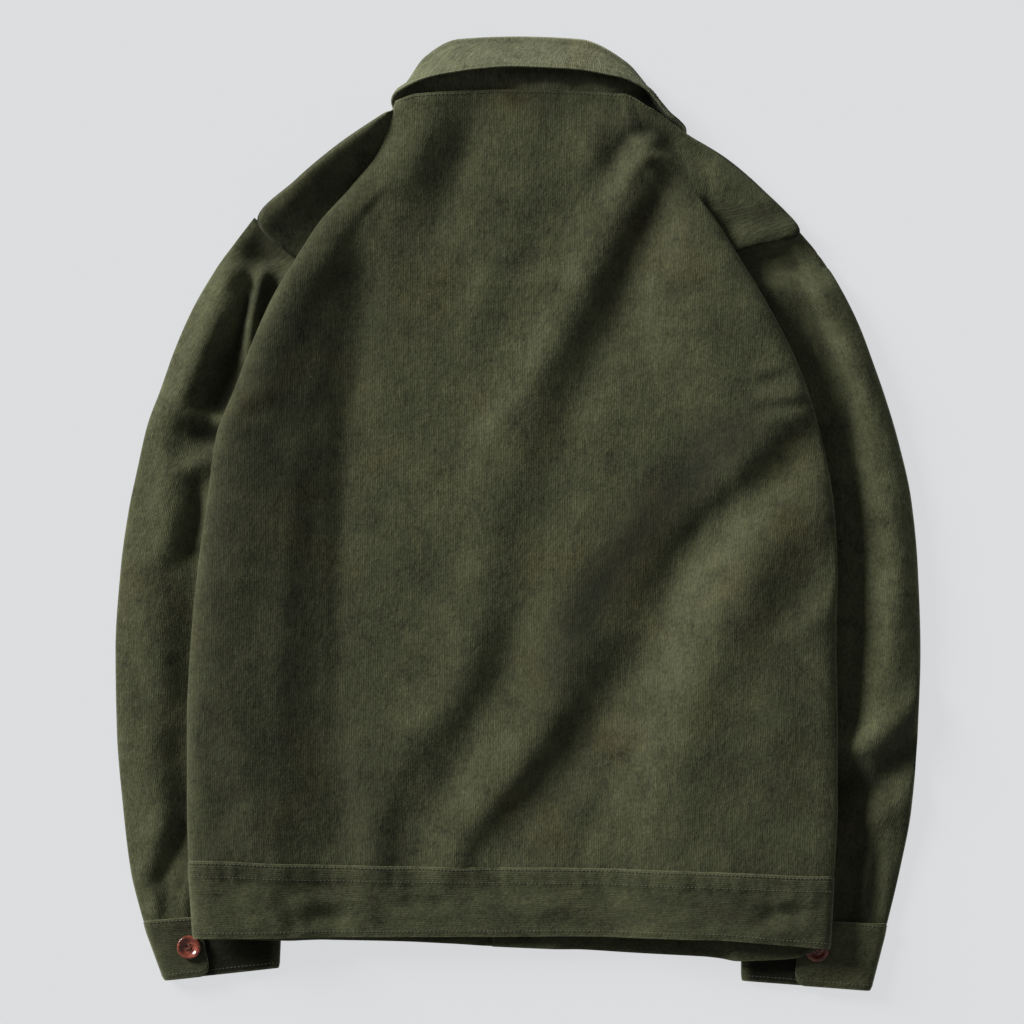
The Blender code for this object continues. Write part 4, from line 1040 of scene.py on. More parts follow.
def pile_group(s):
    """The ribs of fine corduroy and what washing has done to them: relief, rib, tone, streak and wear."""
    tree, w, inside, out = group_with(
        "Corduroy pile",
        [
            ("Wales", "INPUT", "NodeSocketVector", None),
            ("Place", "INPUT", "NodeSocketVector", None),
            ("Seam", "INPUT", "NodeSocketFloat", 1.0),
            ("Relief", "OUTPUT", "NodeSocketFloat", None),
            ("Rib", "OUTPUT", "NodeSocketFloat", None),
            ("Tone", "OUTPUT", "NodeSocketFloat", None),
            ("Earth", "OUTPUT", "NodeSocketFloat", None),
            ("Wear", "OUTPUT", "NodeSocketFloat", None),
        ],
    )
    parts = w.node("ShaderNodeSeparateXYZ", {"Vector": inside.outputs["Wales"]})
    across, along_wale = parts.outputs["X"], parts.outputs["Y"]

    def stretched(per_across, per_along):
        values = {
            "X": w.math("MULTIPLY", across, per_across),
            "Y": w.math("MULTIPLY", along_wale, per_along),
            "Z": 0.0,
        }
        return w.node("ShaderNodeCombineXYZ", values).outputs[0]

    drift = w.math("SUBTRACT", w.noise(stretched(70, 12), 1.0, 1.0), 0.5)
    placed = w.math("ADD", across, w.math("MULTIPLY", drift, s.wale_pitch * 1.1))
    wave = w.math("ABSOLUTE", w.math("SINE", w.math("MULTIPLY", placed, math.pi / s.wale_pitch)))
    rib = w.math("POWER", wave, 0.65)
    fibre = w.noise(stretched(1900, 620), 1.0, 2.0, 0.7)
    streak = w.noise(stretched(0.5 / s.wale_pitch, 60), 1.0, 3.0, 0.65)
    broad = w.noise(stretched(110, 30), 1.0, 2.0, 0.6)
    mottle = w.noise(inside.outputs["Place"], 38.0, 6.0, 0.68)
    cloud = w.noise(inside.outputs["Place"], 9.0, 2.0, 0.5)
    crushed = w.noise(stretched(230, 120), 1.0, 3.0, 0.65)
    grain = w.noise(stretched(520, 330), 1.0, 3.0, 0.7)
    patch = w.noise(inside.outputs["Place"], 120.0, 3.0, 0.6)
    upright = w.span(w.math("ADD", crushed, w.math("MULTIPLY", patch, 0.5)), 0.66, 0.92)
    height = w.math("MULTIPLY", rib, w.math("MULTIPLY_ADD", upright, 0.75, 0.25))
    relief = w.math("MULTIPLY", height, s.wale_depth)
    for part, amount in ((fibre, 0.5), (grain, 1.0), (crushed, 1.6)):
        relief = w.math("ADD", relief, w.math("MULTIPLY", part, s.wale_depth * amount))
    tone = w.math("MULTIPLY", w.span(streak, 0.62, 0.76), 0.35)
    parts = (streak, 0.4), (broad, 0.4), (mottle, 1.5), (cloud, 0.4), (fibre, 0.8), (crushed, 1.1)
    for part, amount in (*parts, (grain, 1.7), (patch, 0.9)):
        tone = w.math("ADD", tone, w.math("MULTIPLY", w.math("SUBTRACT", part, 0.5), amount))
    wear = w.span(inside.outputs["Seam"], 0.0003, 0.0024, 1.0, 0.0)
    wear = w.math("MULTIPLY", wear, w.span(crushed, 0.25, 0.62))
    w.put(out.inputs["Relief"], relief)
    w.put(out.inputs["Rib"], w.math("MAXIMUM", rib, w.math("MULTIPLY_ADD", upright, -0.6, 0.72)))
    w.put(out.inputs["Tone"], w.math("ADD", tone, 0.5))
    w.put(out.inputs["Earth"], w.span(w.noise(inside.outputs["Place"], 15.0, 3.0, 0.6), 0.5, 0.78))
    w.put(out.inputs["Wear"], wear)
    return tree


def corduroy(name, group, colour, relief=1.0, sheen=0.35):
    """Corduroy from its pile group: painted shade in the hollows between the ribs, uneven along them, pale
    where it is worn, and darkened or lightened by painted shade and painted light.
    """
    material = bpy.data.materials.new(name)
    material.use_nodes = True
    tree = material.node_tree
    w = Wiring(tree)
    shader = tree.nodes["Principled BSDF"]
    pile = w.node("ShaderNodeGroup", node_tree=group)
    w.put(pile.inputs["Wales"], w.node("ShaderNodeUVMap", uv_map="Wales").outputs["UV"])
    w.put(pile.inputs["Place"], w.node("ShaderNodeTexCoord").outputs["Object"])
    w.put(pile.inputs["Seam"], w.node("ShaderNodeAttribute", attribute_name="seam").outputs["Fac"])
    full = (*colour, 1)
    # The colour between the ribs is a painted shade in their hollows.
    deep = (colour[0] * 0.5, colour[1] * 0.5, colour[2] * 0.48, 1)
    pale = (colour[0] * 1.75, colour[1] * 1.72, colour[2] * 1.8, 1)
    earth = (colour[0] * 1.12, colour[1] * 0.86, colour[2] * 0.72, 1)
    base = w.mix(w.span(pile.outputs["Rib"], 0.1, 0.75), deep, full)
    base = w.mix(w.math("MULTIPLY", pile.outputs["Earth"], 0.45), base, earth)
    gain = w.math("ADD", pile.outputs["Tone"], 0.5)
    # The painted shading attribute darkens or lightens the colour: painted shade and painted light.
    painted_shading_fac = w.node("ShaderNodeAttribute", attribute_name="painted_shading").outputs["Fac"]
    gain = w.math("MULTIPLY", gain, w.math("MAXIMUM", w.math("ADD", painted_shading_fac, 1.0), 0.1))
    bright = w.node("ShaderNodeCombineColor", {"Red": gain, "Green": gain, "Blue": gain}).outputs[0]
    base = w.mix(1.0, base, bright, "MULTIPLY")
    base = w.mix(w.math("MULTIPLY", pile.outputs["Wear"], 0.75), base, pale)
    w.put(shader.inputs["Base Color"], base)
    shader.inputs["Roughness"].default_value = 0.92
    shader.inputs["Specular IOR Level"].default_value = 0.18
    shader.inputs["Sheen Weight"].default_value = sheen
    shader.inputs["Sheen Roughness"].default_value = 0.45
    shader.inputs["Sheen Tint"].default_value = (0.62, 0.66, 0.42, 1)
    bump = w.node("ShaderNodeBump", {"Height": pile.outputs["Relief"], "Strength": relief, "Distance": 1.0})
    w.put(shader.inputs["Normal"], bump.outputs[0])
    return material


def thread_material(s):
    """Twisted cotton thread, a little paler than the cloth."""
    material = bpy.data.materials.new("Olive thread")
    material.use_nodes = True
    w = Wiring(material.node_tree)
    shader = material.node_tree.nodes["Principled BSDF"]
    place = w.node("ShaderNodeTexCoord").outputs["Object"]
    twist = w.noise(place, 2600.0, 1.0)
    fade = w.noise(place, 60.0, 2.0)
    colour = w.mix(w.span(fade, 0.35, 0.7), (*s.thread, 1), (*[c * 1.5 for c in s.thread], 1))
    w.put(shader.inputs["Base Color"], w.mix(w.math("MULTIPLY", twist, 0.5), colour, (0.02, 0.022, 0.012, 1)))
    shader.inputs["Roughness"].default_value = 0.8
    shader.inputs["Sheen Weight"].default_value = 0.15
    bump = w.node("ShaderNodeBump", {"Height": twist, "Strength": 0.4, "Distance": 0.0002})
    w.put(shader.inputs["Normal"], bump.outputs[0])
    return material


def button_material(s):
    """Polished red-brown horn: darker cloudy streaks, and a clear glossy skin."""
    material = bpy.data.materials.new("Red-brown horn")
    material.use_nodes = True
    w = Wiring(material.node_tree)
    shader = material.node_tree.nodes["Principled BSDF"]
    place = w.node("ShaderNodeTexCoord").outputs["Object"]
    bent = w.node("ShaderNodeMapping", {"Vector": place, "Scale": (1.0, 2.6, 1.0)}).outputs[0]
    cloud = w.noise(bent, 190.0, 4.0, 0.6)
    speck = w.noise(place, 1500.0, 2.0)
    deep = (s.button_colour[0] * 0.35, s.button_colour[1] * 0.3, s.button_colour[2] * 0.3, 1)
    light = (s.button_colour[0] * 1.5, s.button_colour[1] * 1.9, s.button_colour[2] * 1.9, 1)
    base = w.mix(w.span(cloud, 0.34, 0.62), deep, (*s.button_colour, 1))
    base = w.mix(w.span(cloud, 0.55, 0.8), base, light)
    w.put(shader.inputs["Base Color"], base)
    w.put(shader.inputs["Roughness"], w.span(speck, 0.3, 0.8, 0.16, 0.34))
    shader.inputs["Coat Weight"].default_value = 0.6
    shader.inputs["Coat Roughness"].default_value = 0.08
    shader.inputs["Subsurface Weight"].default_value = 0.05
    shader.inputs["Subsurface Scale"].default_value = 0.001
    bump = w.node("ShaderNodeBump", {"Height": cloud, "Strength": 0.15, "Distance": 0.0003})
    w.put(shader.inputs["Normal"], bump.outputs[0])
    return material


def finish_of(name):
    """A material by its name, made when it is first wanted."""
    known = bpy.data.materials.get(name)
    if known:
        return known
    s = bpy.context.scene.jacket_cloth
    group = bpy.data.node_groups.get("Corduroy pile") or pile_group(s)
    if name == "Olive corduroy body":
        return corduroy(name, group, s.olive)
    if name == "Olive corduroy band":
        return corduroy(name, group, s.olive_trim)
    if name == "Olive corduroy collar":
        return corduroy(name, group, s.olive_collar_worn_and_lit)
    if name == "Wrong side of the corduroy":
        return corduroy(name, group, [c * 0.85 for c in s.olive], relief=0.35, sheen=0.1)
    if name == "Olive thread":
        return thread_material(s)
    return button_material(bpy.context.scene.jacket_buttons)


# ---------------------------------------------------------------- the pieces

# Each piece starts its map of the ribs at another place, so that no two share one stretch of the pattern.


def pitch_of(s):
    """The cell size of the cloth's grids in millimetres."""
    return s.grid_pitch / MM


def back_cloth(s):
    """The back panel with its folds, its rolled sides and the flaps that meet the sleeves."""
    grid = fine(back_net(), pitch_of(s))
    p = grid.points
    rows, columns = p.shape[:2]
    x, y = p[:, :, 0].copy(), p[:, :, 1].copy()
    column = np.arange(columns)
    left_rim, right_rim = grid.columns[8], grid.columns[-9]
    panel = ease((column - left_rim + 1) / 4) * ease((right_rim + 1 - column) / 4)
    shoulder = ease((grid.columns[4] - column) / 3) + ease((column - grid.columns[-5]) / 3)
    upper = ease((np.arange(rows) - grid.rows[UNDERARM + 2]) / 4)[:, None]
    field = crease_field(x, y, BACK_FOLDS) + crease_field(x, y, BACK_CREASES) * s.fold_depth
    field += rumple(p, 70, 1.5, 3) + rumple(p, 26, 0.55, 9) + rumple(p, 11, 0.16, 15)
    waist = y - y[:1]
    field += 0.75 * ripple(x, 13, 2.5) * np.exp(-((waist / 16) ** 2))
    neck = y[-1:] - y
    field += 0.5 * ripple(x, 16, 7.5) * np.exp(-((neck / 12) ** 2))
    field += 1.8 * np.exp(-((neck / 8) ** 2))
    smooth_shoulder = ease((column - grid.columns[-9] + 12) / 8) * ease((grid.columns[-2] - column) / 8)
    near_neck = ease((np.arange(rows) - grid.rows[12]) / (grid.rows[13] - grid.rows[12]))[:, None]
    raise_cloth(p, 1, field, np.maximum(panel[None, :], smooth_shoulder * near_neck))
    floor = np.where(panel[None, :] > 0.99, back_floor(x, y), -99)
    p[:, :, 2] = np.where(floor > 0, above(p[:, :, 2], floor - 1.2, 4.5), p[:, :, 2])
    hollow = crease_field(x, y, SHOULDER_CREASES) * s.fold_depth + rumple(p, 30, 0.8, 21)
    raise_cloth(p, 1, hollow, shoulder[None, :] * upper)
    missing = np.zeros((rows - 1, columns - 1), bool)
    missing[: grid.rows[UNDERARM], : grid.columns[FOLD_KEY]] = True
    missing[: grid.rows[UNDERARM], grid.columns[-1 - FOLD_KEY] :] = True
    step = np.hypot(np.diff(p[:, :, 0], axis=1), np.diff(p[:, :, 2], axis=1))
    across = np.concatenate([np.zeros((rows, 1)), np.cumsum(step, axis=1)], axis=1)
    middle = columns // 2
    across += p[:, middle : middle + 1, 0] - across[:, middle : middle + 1]
    seam = edge_reach(p, ("start", "end"))
    sides = edge_reach(p, ("first", "last"))
    upper_edge = np.arange(rows)[:, None] >= grid.rows[UNDERARM]
    seam = np.where(upper_edge, np.minimum(seam, sides + 2.5), seam)
    flap = (column <= grid.columns[FOLD_KEY]) | (column >= grid.columns[-1 - FOLD_KEY])
    along = arcs(p, 0)
    flap_edge = np.where(flap[None, :], np.abs(along - along[grid.rows[UNDERARM]]), 99)
    seam = np.minimum(seam, flap_edge + 0.5)
    uv = np.stack([across, p[:, :, 1]], axis=-1) * MM
    materials = [finish_of("Olive corduroy body"), finish_of("Wrong side of the corduroy")]
    # Painted shade along the side fold edges of the upper rows and along the flaps' edges, laid over the lit
    # edges, with the body's table of painted shade and light.
    painted_shading = crease_field(x, y, BODY_PAINTED_LIGHT_AND_SHADE) - np.where(upper_edge, 0.9 * np.exp(-((sides / 2.6) ** 2)), 0)
    painted_shading -= 0.9 * np.exp(-((flap_edge / 2.2) ** 2))
    piece = cloth("back_cloth", grid, 1, uv, seam, painted_shading, materials, s.thickness, missing)
    finished(piece, ["back_panel"])
    return piece, grid


def sleeve_cloth(s, side, sign, table):
    """A sleeve, closed round up to the underarm and open above it."""
    grid = fine(sleeve_net(table, sign), pitch_of(s))
    p = grid.points
    x, y = p[:, :, 0].copy(), p[:, :, 1].copy()
    column = np.arange(p.shape[1])
    top = ease((column - grid.columns[1]) / 3) * ease((grid.columns[8] - column) / 3)
    field = crease_field(x, y, SLEEVE_CREASES[sign]) * s.fold_depth
    field += rumple(p, 60, 1.6, 31 + sign) + rumple(p, 24, 0.7, 41 + sign) + rumple(p, 10, 0.2, 51)
    cuff = arcs(p, 0)
    field += 1.0 * ripple(x, 8, 4.5 + sign) * np.exp(-((cuff / 14) ** 2))
    raise_cloth(p, sign, field, top[None, :])
    p[:, :, 2] = np.maximum(p[:, :, 2], s.thickness / MM / 2 + 2.6 * top[None, :])
    missing = np.zeros((p.shape[0] - 1, p.shape[1] - 1), bool)
    missing[grid.rows[SLEEVE_UNDERARM] :, : grid.columns[1]] = True
    missing[grid.rows[SLEEVE_UNDERARM] :, grid.columns[-2] :] = True
    across = arcs(p, 1)
    outer = grid.columns[7]
    across = across - across[:, outer : outer + 1]
    uv = np.stack([across + 400 * sign, arcs(p, 0)], axis=-1) * MM
    seam = edge_reach(p, ("start", "end")) + 2.5
    materials = [finish_of("Olive corduroy body"), finish_of("Wrong side of the corduroy")]
    closed = grid.rows[SLEEVE_UNDERARM] + 1
    # Painted shade and light from the sleeve's table, and painted shade along its edge at the armhole.
    painted_shading = crease_field(x, y, SLEEVE_PAINTED_LIGHT_AND_SHADE[sign]) - 0.75 * np.exp(-((edge_reach(p, ("end",)) / 1.6) ** 2))
    piece = cloth(f"sleeve_cloth_{side}", grid, sign, uv, seam, painted_shading, materials, s.thickness, missing, closed)
    finished(piece, [f"sleeve_{side}"])
    return piece


def front_cloth(s, side, sign, table, over):
    """A front panel, plain and flat underneath."""
    grid = fine(front_net(table, sign, over), pitch_of(s) * 1.3)
    p = grid.points
    uv = np.stack([arcs(p, 1) + 900 + 300 * sign, arcs(p, 0)], axis=-1) * MM
    seam = edge_reach(p, ("start", "end", "first", "last"))
    materials = [finish_of("Olive corduroy body"), finish_of("Wrong side of the corduroy")]
    piece = cloth(f"front_cloth_{side}", grid, -sign, uv, seam, np.zeros_like(seam), materials, s.thickness)
    finished(piece, [f"front_{side}"])
    return piece


def band_cloth(s):
    """The waistband, puckered along its seam and standing a little proud of it."""
    grid = fine(band_net(back_net()), pitch_of(s) * 0.72)
    p = grid.points
    x, y = p[:, :, 0].copy(), p[:, :, 1].copy()
    down = arcs(p, 0)
    run = arcs(p, 1)
    left, right = grid.columns[10], grid.columns[-11]
    column = np.arange(p.shape[1])
    top = (ease((column - left + 1) / 4) * ease((right + 1 - column) / 4))[None, :]
    ridge = ease((down - 1.0) / 2.2) * ease((12.6 - down) / 3.0)
    field = crease_field(x, y, BAND_CREASES) * s.fold_depth
    field += crease_field(x, y, BACK_FOLDS) * np.exp(-((down / 40) ** 2))
    field += 0.9 * ridge
    field += 0.55 * ripple(run, 7, 1.5) * np.exp(-(((down - 9) / 9) ** 2))
    field += 0.5 * ripple(run, 18, 3.5) * np.exp(-(((down[-1:] - down) / 12) ** 2))
    field += rumple(p, 40, 1.1, 61) + rumple(p, 15, 0.4, 66)
    field += 1.5 * np.clip(1 - down / 8, 0, 1) ** 1.5
    raise_cloth(p, -1, field, top)
    p[:, :, 1] += 2.4 * np.clip(1 - down / 9, 0, 1) * top
    seam = edge_reach(p, ("start", "end", "first", "last"))
    uv = np.stack([down + 1500, run], axis=-1) * MM
    materials = [finish_of("Olive corduroy band")] * 2
    # The body's painted shade and light, laid on the waistband too.
    painted_shading = crease_field(x, y, BODY_PAINTED_LIGHT_AND_SHADE)
    piece = cloth("waistband_cloth", grid, -1, uv, seam, painted_shading, materials, s.band_thickness)
    finished(piece, ["waistband"])
    return piece, grid


def cuff_cloth(s, side, sign, cuff):
    """A cuff with its rounded tab lapped over the lower layer."""
    grid = fine(cuff_net(cuff, sign), pitch_of(s) * 0.6)
    p = grid.points
    down, across = arcs(p, 0), arcs(p, 1)
    tab_left = across[:, -1:] - across
    radius = 9.0
    inset = radius - np.sqrt(np.maximum(radius**2 - np.maximum(radius - tab_left, 0) ** 2, 0))
    deep = down[-1:]
    share = (inset + down / deep * (deep - 2 * inset)) / deep
    first, last = p[:1].copy(), p[-1:].copy()
    p[:] = first + share[:, :, None] * (last - first)
    run = arcs(p, 1)
    top = ease((np.arange(p.shape[1]) - grid.columns[10]) / 3)[None, :]
    inner = ease((grid.columns[3] - np.arange(p.shape[1])) / 3)[None, :]
    field = 0.35 * ripple(run, 9, 5.5 + sign) * np.exp(-((down / 9) ** 2)) + rumple(p, 22, 0.7, 71 + sign)
    field += 0.5 * ease((down - 1) / 2) * ease((9 - down) / 3)
    field += 1.2 * np.clip(1 - down / 7, 0, 1) ** 1.5
    raise_cloth(p, sign, field, top)
    raise_cloth(p, sign, rumple(p, 18, 0.4, 81), inner)
    p[:, :, 1] += 2.0 * np.clip(1 - down / 8, 0, 1)
    seam = edge_reach(p, ("start", "end", "last"))
    uv = np.stack([down + 1700 + 80 * sign, run], axis=-1) * MM
    materials = [finish_of("Olive corduroy band")] * 2
    # Painted shadow over the cuff's inner part, which lies in the hem's shadow, and the tab's painted shade
    # on the left cuff, painted light on the right.
    painted_shading = np.broadcast_to(CUFF_PAINTED_LIGHT_AND_SHADE[sign] * (1 - inner) - 0.8 * inner, seam.shape)
    piece = cloth(f"cuff_cloth_{side}", grid, sign, uv, seam, painted_shading, materials, s.band_thickness)
    finished(piece, [f"cuff_{side}"])
    return piece, grid


def collar_cloth(s):
    """The collar, its stand crumpled under the fall and its edge rolled."""
    grid = fine(collar_net(), pitch_of(s) * 0.72)
    p = grid.points
    x, y = p[:, :, 0].copy(), p[:, :, 1].copy()
    run, across = arcs(p, 0), arcs(p, 1)
    column = np.arange(p.shape[1])
    fall = ease((column - grid.columns[4]) / 4)[None, :]
    stand = ease((grid.columns[2] - column) / 4)[None, :]
    back = ease((y - 322) / 8)
    wave = 0.8 * ripple(run, 46, 8.5) + 0.3 * ripple(run, 12, 9.5)
    rolled = across[:, -1:] - across
    lip = 1.0 * ease((7.5 - rolled) / 2.5)
    out = normals(p, -1)
    p += out * ((wave + lip) * fall * back)[:, :, None]
    inward = np.stack([10 - x, 262 - y], axis=-1)
    inward /= np.linalg.norm(inward, axis=2, keepdims=True)
    tuck = ease(1 - across / 16) * ease((y - 288) / 10)
    p[:, :, :2] += inward * (9 * tuck)[:, :, None]
    p[:, :, 2] -= 2.4 * tuck
    raise_cloth(p, 1, crease_field(x, y, COLLAR_CREASES) + rumple(p, 18, 0.5, 91), stand * back)
    seam = edge_reach(p, ("first", "last", "start", "end"))
    around = run / run[-1:] * run[-1].mean()
    uv = np.stack([around + 2100, across], axis=-1) * MM
    materials = [finish_of("Olive corduroy collar")] * 2
    # Painted light on the fall, which faces the light, and painted shade on the shadowed right end.
    painted_shading = 0.3 * fall * back + crease_field(x, y, COLLAR_PAINTED_SHADE)
    piece = cloth("collar_cloth", grid, -1, uv, seam, painted_shading, materials, s.band_thickness)
    finished(piece, ["collar"])
    return piece, grid


def hole_places(s):
    """Where the four holes are drilled, from the middle of the button."""
    reach = s.hole_spread / 2
    return [(a * reach, b * reach) for a in (-1, 1) for b in (-1, 1)]


def button_shape(s):
    """One turned button, its face up and its back on z = 0: rounded rim, dished face and four holes."""
    bpy.ops.object.select_all(action="DESELECT")
    bpy.ops.mesh.primitive_cylinder_add(
        vertices=48, radius=s.radius, depth=s.height, location=(0, 0, s.height / 2)
    )
    turned = bpy.context.object
    turned.name = "button_pattern"
    bpy.ops.object.transform_apply(location=True, rotation=False, scale=False)
    bpy.ops.object.mode_set(mode="EDIT")
    bpy.ops.mesh.select_mode(type="FACE")
    bpy.ops.mesh.select_all(action="DESELECT")
    bpy.ops.object.mode_set(mode="OBJECT")
    for face in turned.data.polygons:
        face.select = face.normal.z > 0.9
    bpy.ops.object.mode_set(mode="EDIT")
    for rim_share, dish_share in ((0.24, 0), (0.24, 1), (0.16, 0.12)):
        bpy.ops.mesh.inset(thickness=s.radius * rim_share, depth=-s.dish * dish_share)
    bpy.ops.mesh.select_all(action="DESELECT")
    bpy.ops.object.mode_set(mode="OBJECT")
    round_off = turned.modifiers.new("Turned edges", "BEVEL")
    round_off.width = s.radius * 0.11
    round_off.segments = 3
    round_off.angle_limit = math.radians(20)
    bpy.ops.object.modifier_apply(modifier=round_off.name)
    for x, y in hole_places(s):
        bpy.ops.object.select_all(action="DESELECT")
        bpy.ops.mesh.primitive_cylinder_add(
            vertices=12, radius=s.hole_radius, depth=s.height * 3, location=(x, y, s.height / 2)
        )
        drill = bpy.context.object
        bpy.ops.object.select_all(action="DESELECT")
        bpy.context.view_layer.objects.active = turned
        turned.select_set(True)
        drilled = turned.modifiers.new("Hole", "BOOLEAN")
        drilled.operation = "DIFFERENCE"
        drilled.object = drill
        bpy.ops.object.modifier_apply(modifier=drilled.name)
        bpy.data.objects.remove(drill)
    bpy.ops.object.shade_smooth_by_angle(angle=math.radians(40))
    return turned


def placed_button(name, pattern, node, face_up, turn, material):
    """A copy of the button on its CAD node's place, turned about its own middle."""
    low, high = (np.array(c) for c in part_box(node))
    data = pattern.data.copy()
    data.name = name
    points = np.array([v.co for v in data.vertices])
    spin = np.array([[math.cos(turn), math.sin(turn)], [-math.sin(turn), math.cos(turn)]])
    points[:, :2] = points[:, :2] @ spin
    if not face_up:
        points[:, 1] *= -1
        points[:, 2] = (high[2] - low[2]) - points[:, 2]
    points += [(low[0] + high[0]) / 2, (low[1] + high[1]) / 2, low[2]]
    data.vertices.foreach_set("co", points.astype(np.float32).ravel())
    data.materials.clear()
    data.materials.append(material)
    data.update()
    piece = bpy.data.objects.new(name, data)
    bpy.context.scene.collection.objects.link(piece)
    finished(piece, [node])
    return piece


# ---------------------------------------------------------------- sizes and colours


def length(name, text, default):
    """A size that the user may change."""
    return bpy.props.FloatProperty(
        name=name, description=text, default=default, min=0.0, unit="LENGTH", precision=4
    )


def place(name, text, default):
    """A place in the scene that the user may change."""
    return bpy.props.FloatProperty(name=name, description=text, default=default, unit="LENGTH", precision=5)


def number(name, text, default):
    """A plain number that the user may change."""
    return bpy.props.FloatProperty(name=name, description=text, default=default)


def angle(name, text, degrees):
    """An angle that the user may change."""
    return bpy.props.FloatProperty(
        name=name, description=text, default=math.radians(degrees), subtype="ANGLE"
    )


def colour(name, text, default):
    """A colour that the user may change."""
    return bpy.props.FloatVectorProperty(
        name=name, description=text, default=default, subtype="COLOR", size=3, min=0.0, max=1.0
    )


class JacketCloth(bpy.types.PropertyGroup):
    thickness: length("Cloth", "Thickness of one layer of corduroy", 0.0016)
    band_thickness: length("Band", "Thickness of the doubled cloth of waistband, cuffs and collar", 0.0028)
    wale_pitch: length("Rib pitch", "Distance from one rib of the corduroy to the next", 0.00135)
    wale_depth: length("Rib depth", "How far the ribs stand proud of the ground", 0.00026)
    grid_pitch: length("Grid", "Size of the cells that the cloth is built from", 0.0032)
    fold_depth: number("Fold depth", "How strong the creases are, where 1 is as laid", 1.0)
    stitch: length("Stitch", "Length of one stitch with its gap", 0.0030)
    thread_radius: length("Thread", "Radius of the sewing thread", 0.00030)
    olive: colour("Olive", "Colour of the body's corduroy", (0.062, 0.066, 0.034))
    olive_trim: colour("Band olive", "Colour of the waistband and cuffs", (0.060, 0.064, 0.033))
    # The collar's colour is paler partly from rubbing and partly as painted light on its fall, which faces
    # the light.
    olive_collar_worn_and_lit: colour("Collar olive", "Colour of the collar, the most rubbed part", (0.098, 0.103, 0.060))
    thread: colour("Thread", "Colour of the sewing thread", (0.072, 0.075, 0.043))


class JacketButtons(bpy.types.PropertyGroup):
    radius: length("Radius", "Radius of a button", 0.0093)
    height: length("Height", "Height of a button", 0.0032)
    dish: length("Dish", "How deep the button's face is turned out", 0.0018)
    hole_radius: length("Hole", "Radius of one of the four holes", 0.0008)
    hole_spread: length("Hole spread", "Distance between neighbouring holes", 0.0030)
    button_colour: colour("Horn", "Main colour of the buttons", (0.26, 0.062, 0.035))


class JacketStage(bpy.types.PropertyGroup):
    floor: colour("Floor", "Colour of the floor", (0.72, 0.73, 0.745))
    sun_height: angle("Light height", "Height of the main light above the floor", 20)
    sun_from: angle("Light from", "Where the main light comes from, turning from +x towards +y", 146)
    sun_spread: angle("Light spread", "How wide the main light is, which softens its shadows", 22)
    sun_power: number("Light", "Strength of the main light", 5.3)
    fill_power: number("Fill", "Strength of the light from all round", 0.19)
    view_width: length("View width", "Width of floor that the camera sees", 0.7987)
    camera_height: length("Camera height", "Height of the camera above the floor", 3.0)
    floor_share: number("Floor shade", "Share of the floor's colour that the lights make", 0.13)
    floor_glow: number("Floor glow", "How much light the floor itself gives out", 0.895)
    centre_x: place("View x", "Middle of the view from left to right", -0.0047)
    centre_y: place("View y", "Middle of the view from hem to collar", 0.00195)


# ---------------------------------------------------------------- operators


class JacketPiece:
    bl_options = {"REGISTER", "UNDO"}

    def execute(self, context):
        self.make(context.scene)
        return {"FINISHED"}


def sew(name, s, routes):
    """Stitches along routes, resting on the cloth pieces that they hold."""
    shape = stitch_shape(s.stitch * 0.74, s.thread_radius)
    made = stitching(name, routes, s.stitch / MM, finish_of("Olive thread"), shape)
    return made


class JACKET_OT_back(JacketPiece, bpy.types.Operator):
    """Build the back panel with its folds, from the waistband to the neck"""

    bl_idname = "jacket.back"
    bl_label = "Back panel"

    def make(self, scene):
        s = scene.jacket_cloth
        piece, grid = back_cloth(s)
        surface = s.thickness / MM / 2
        columns = grid.columns
        neck = (columns[4], columns[-5])
        routes = [stitch_row(grid, *NECK_ROW, 1, surface, neck)]
        seam = sew("stitching_neck", s, routes)


class JACKET_OT_fronts(JacketPiece, bpy.types.Operator):
    """Build both front panels, which lie underneath"""

    bl_idname = "jacket.fronts"
    bl_label = "Front panels"

    def make(self, scene):
        s = scene.jacket_cloth
        for side, sign, table, over in (
            ("left", LEFT, LEFT_FRONT, False),
            ("right", RIGHT, RIGHT_FRONT, True),
        ):
            piece = front_cloth(s, side, sign, table, over)


class JACKET_OT_sleeves(JacketPiece, bpy.types.Operator):
    """Build both sleeves, flattened beside and under the body"""

    bl_idname = "jacket.sleeves"
    bl_label = "Sleeves"

    def make(self, scene):
        s = scene.jacket_cloth
        for side, sign, table in (("left", LEFT, LEFT_SLEEVE), ("right", RIGHT, RIGHT_SLEEVE)):
            piece = sleeve_cloth(s, side, sign, table)


class JACKET_OT_waistband(JacketPiece, bpy.types.Operator):
    """Build the waistband round the hem with its rows of stitching"""

    bl_idname = "jacket.waistband"
    bl_label = "Waistband"

    def make(self, scene):
        s = scene.jacket_cloth
        piece, grid = band_cloth(s)
        surface = s.band_thickness / MM / 2
        routes = [stitch_row(grid, edge, inset, -1, surface) for edge, inset in WAISTBAND_ROWS]
        seam = sew("stitching_waistband", s, routes)


class JACKET_OT_cuffs(JacketPiece, bpy.types.Operator):
    """Build both cuffs with their overlapping tabs and stitching"""

    bl_idname = "jacket.cuffs"
    bl_label = "Cuffs"

    def make(self, scene):
        s = scene.jacket_cloth
        surface = s.band_thickness / MM / 2
        for side, sign, cuff in (("left", LEFT, LEFT_CUFF), ("right", RIGHT, RIGHT_CUFF)):
            piece, grid = cuff_cloth(s, side, sign, cuff)
            routes = [stitch_row(grid, edge, inset, sign, surface) for edge, inset in CUFF_ROWS]
            seam = sew(f"stitching_cuff_{side}", s, routes)


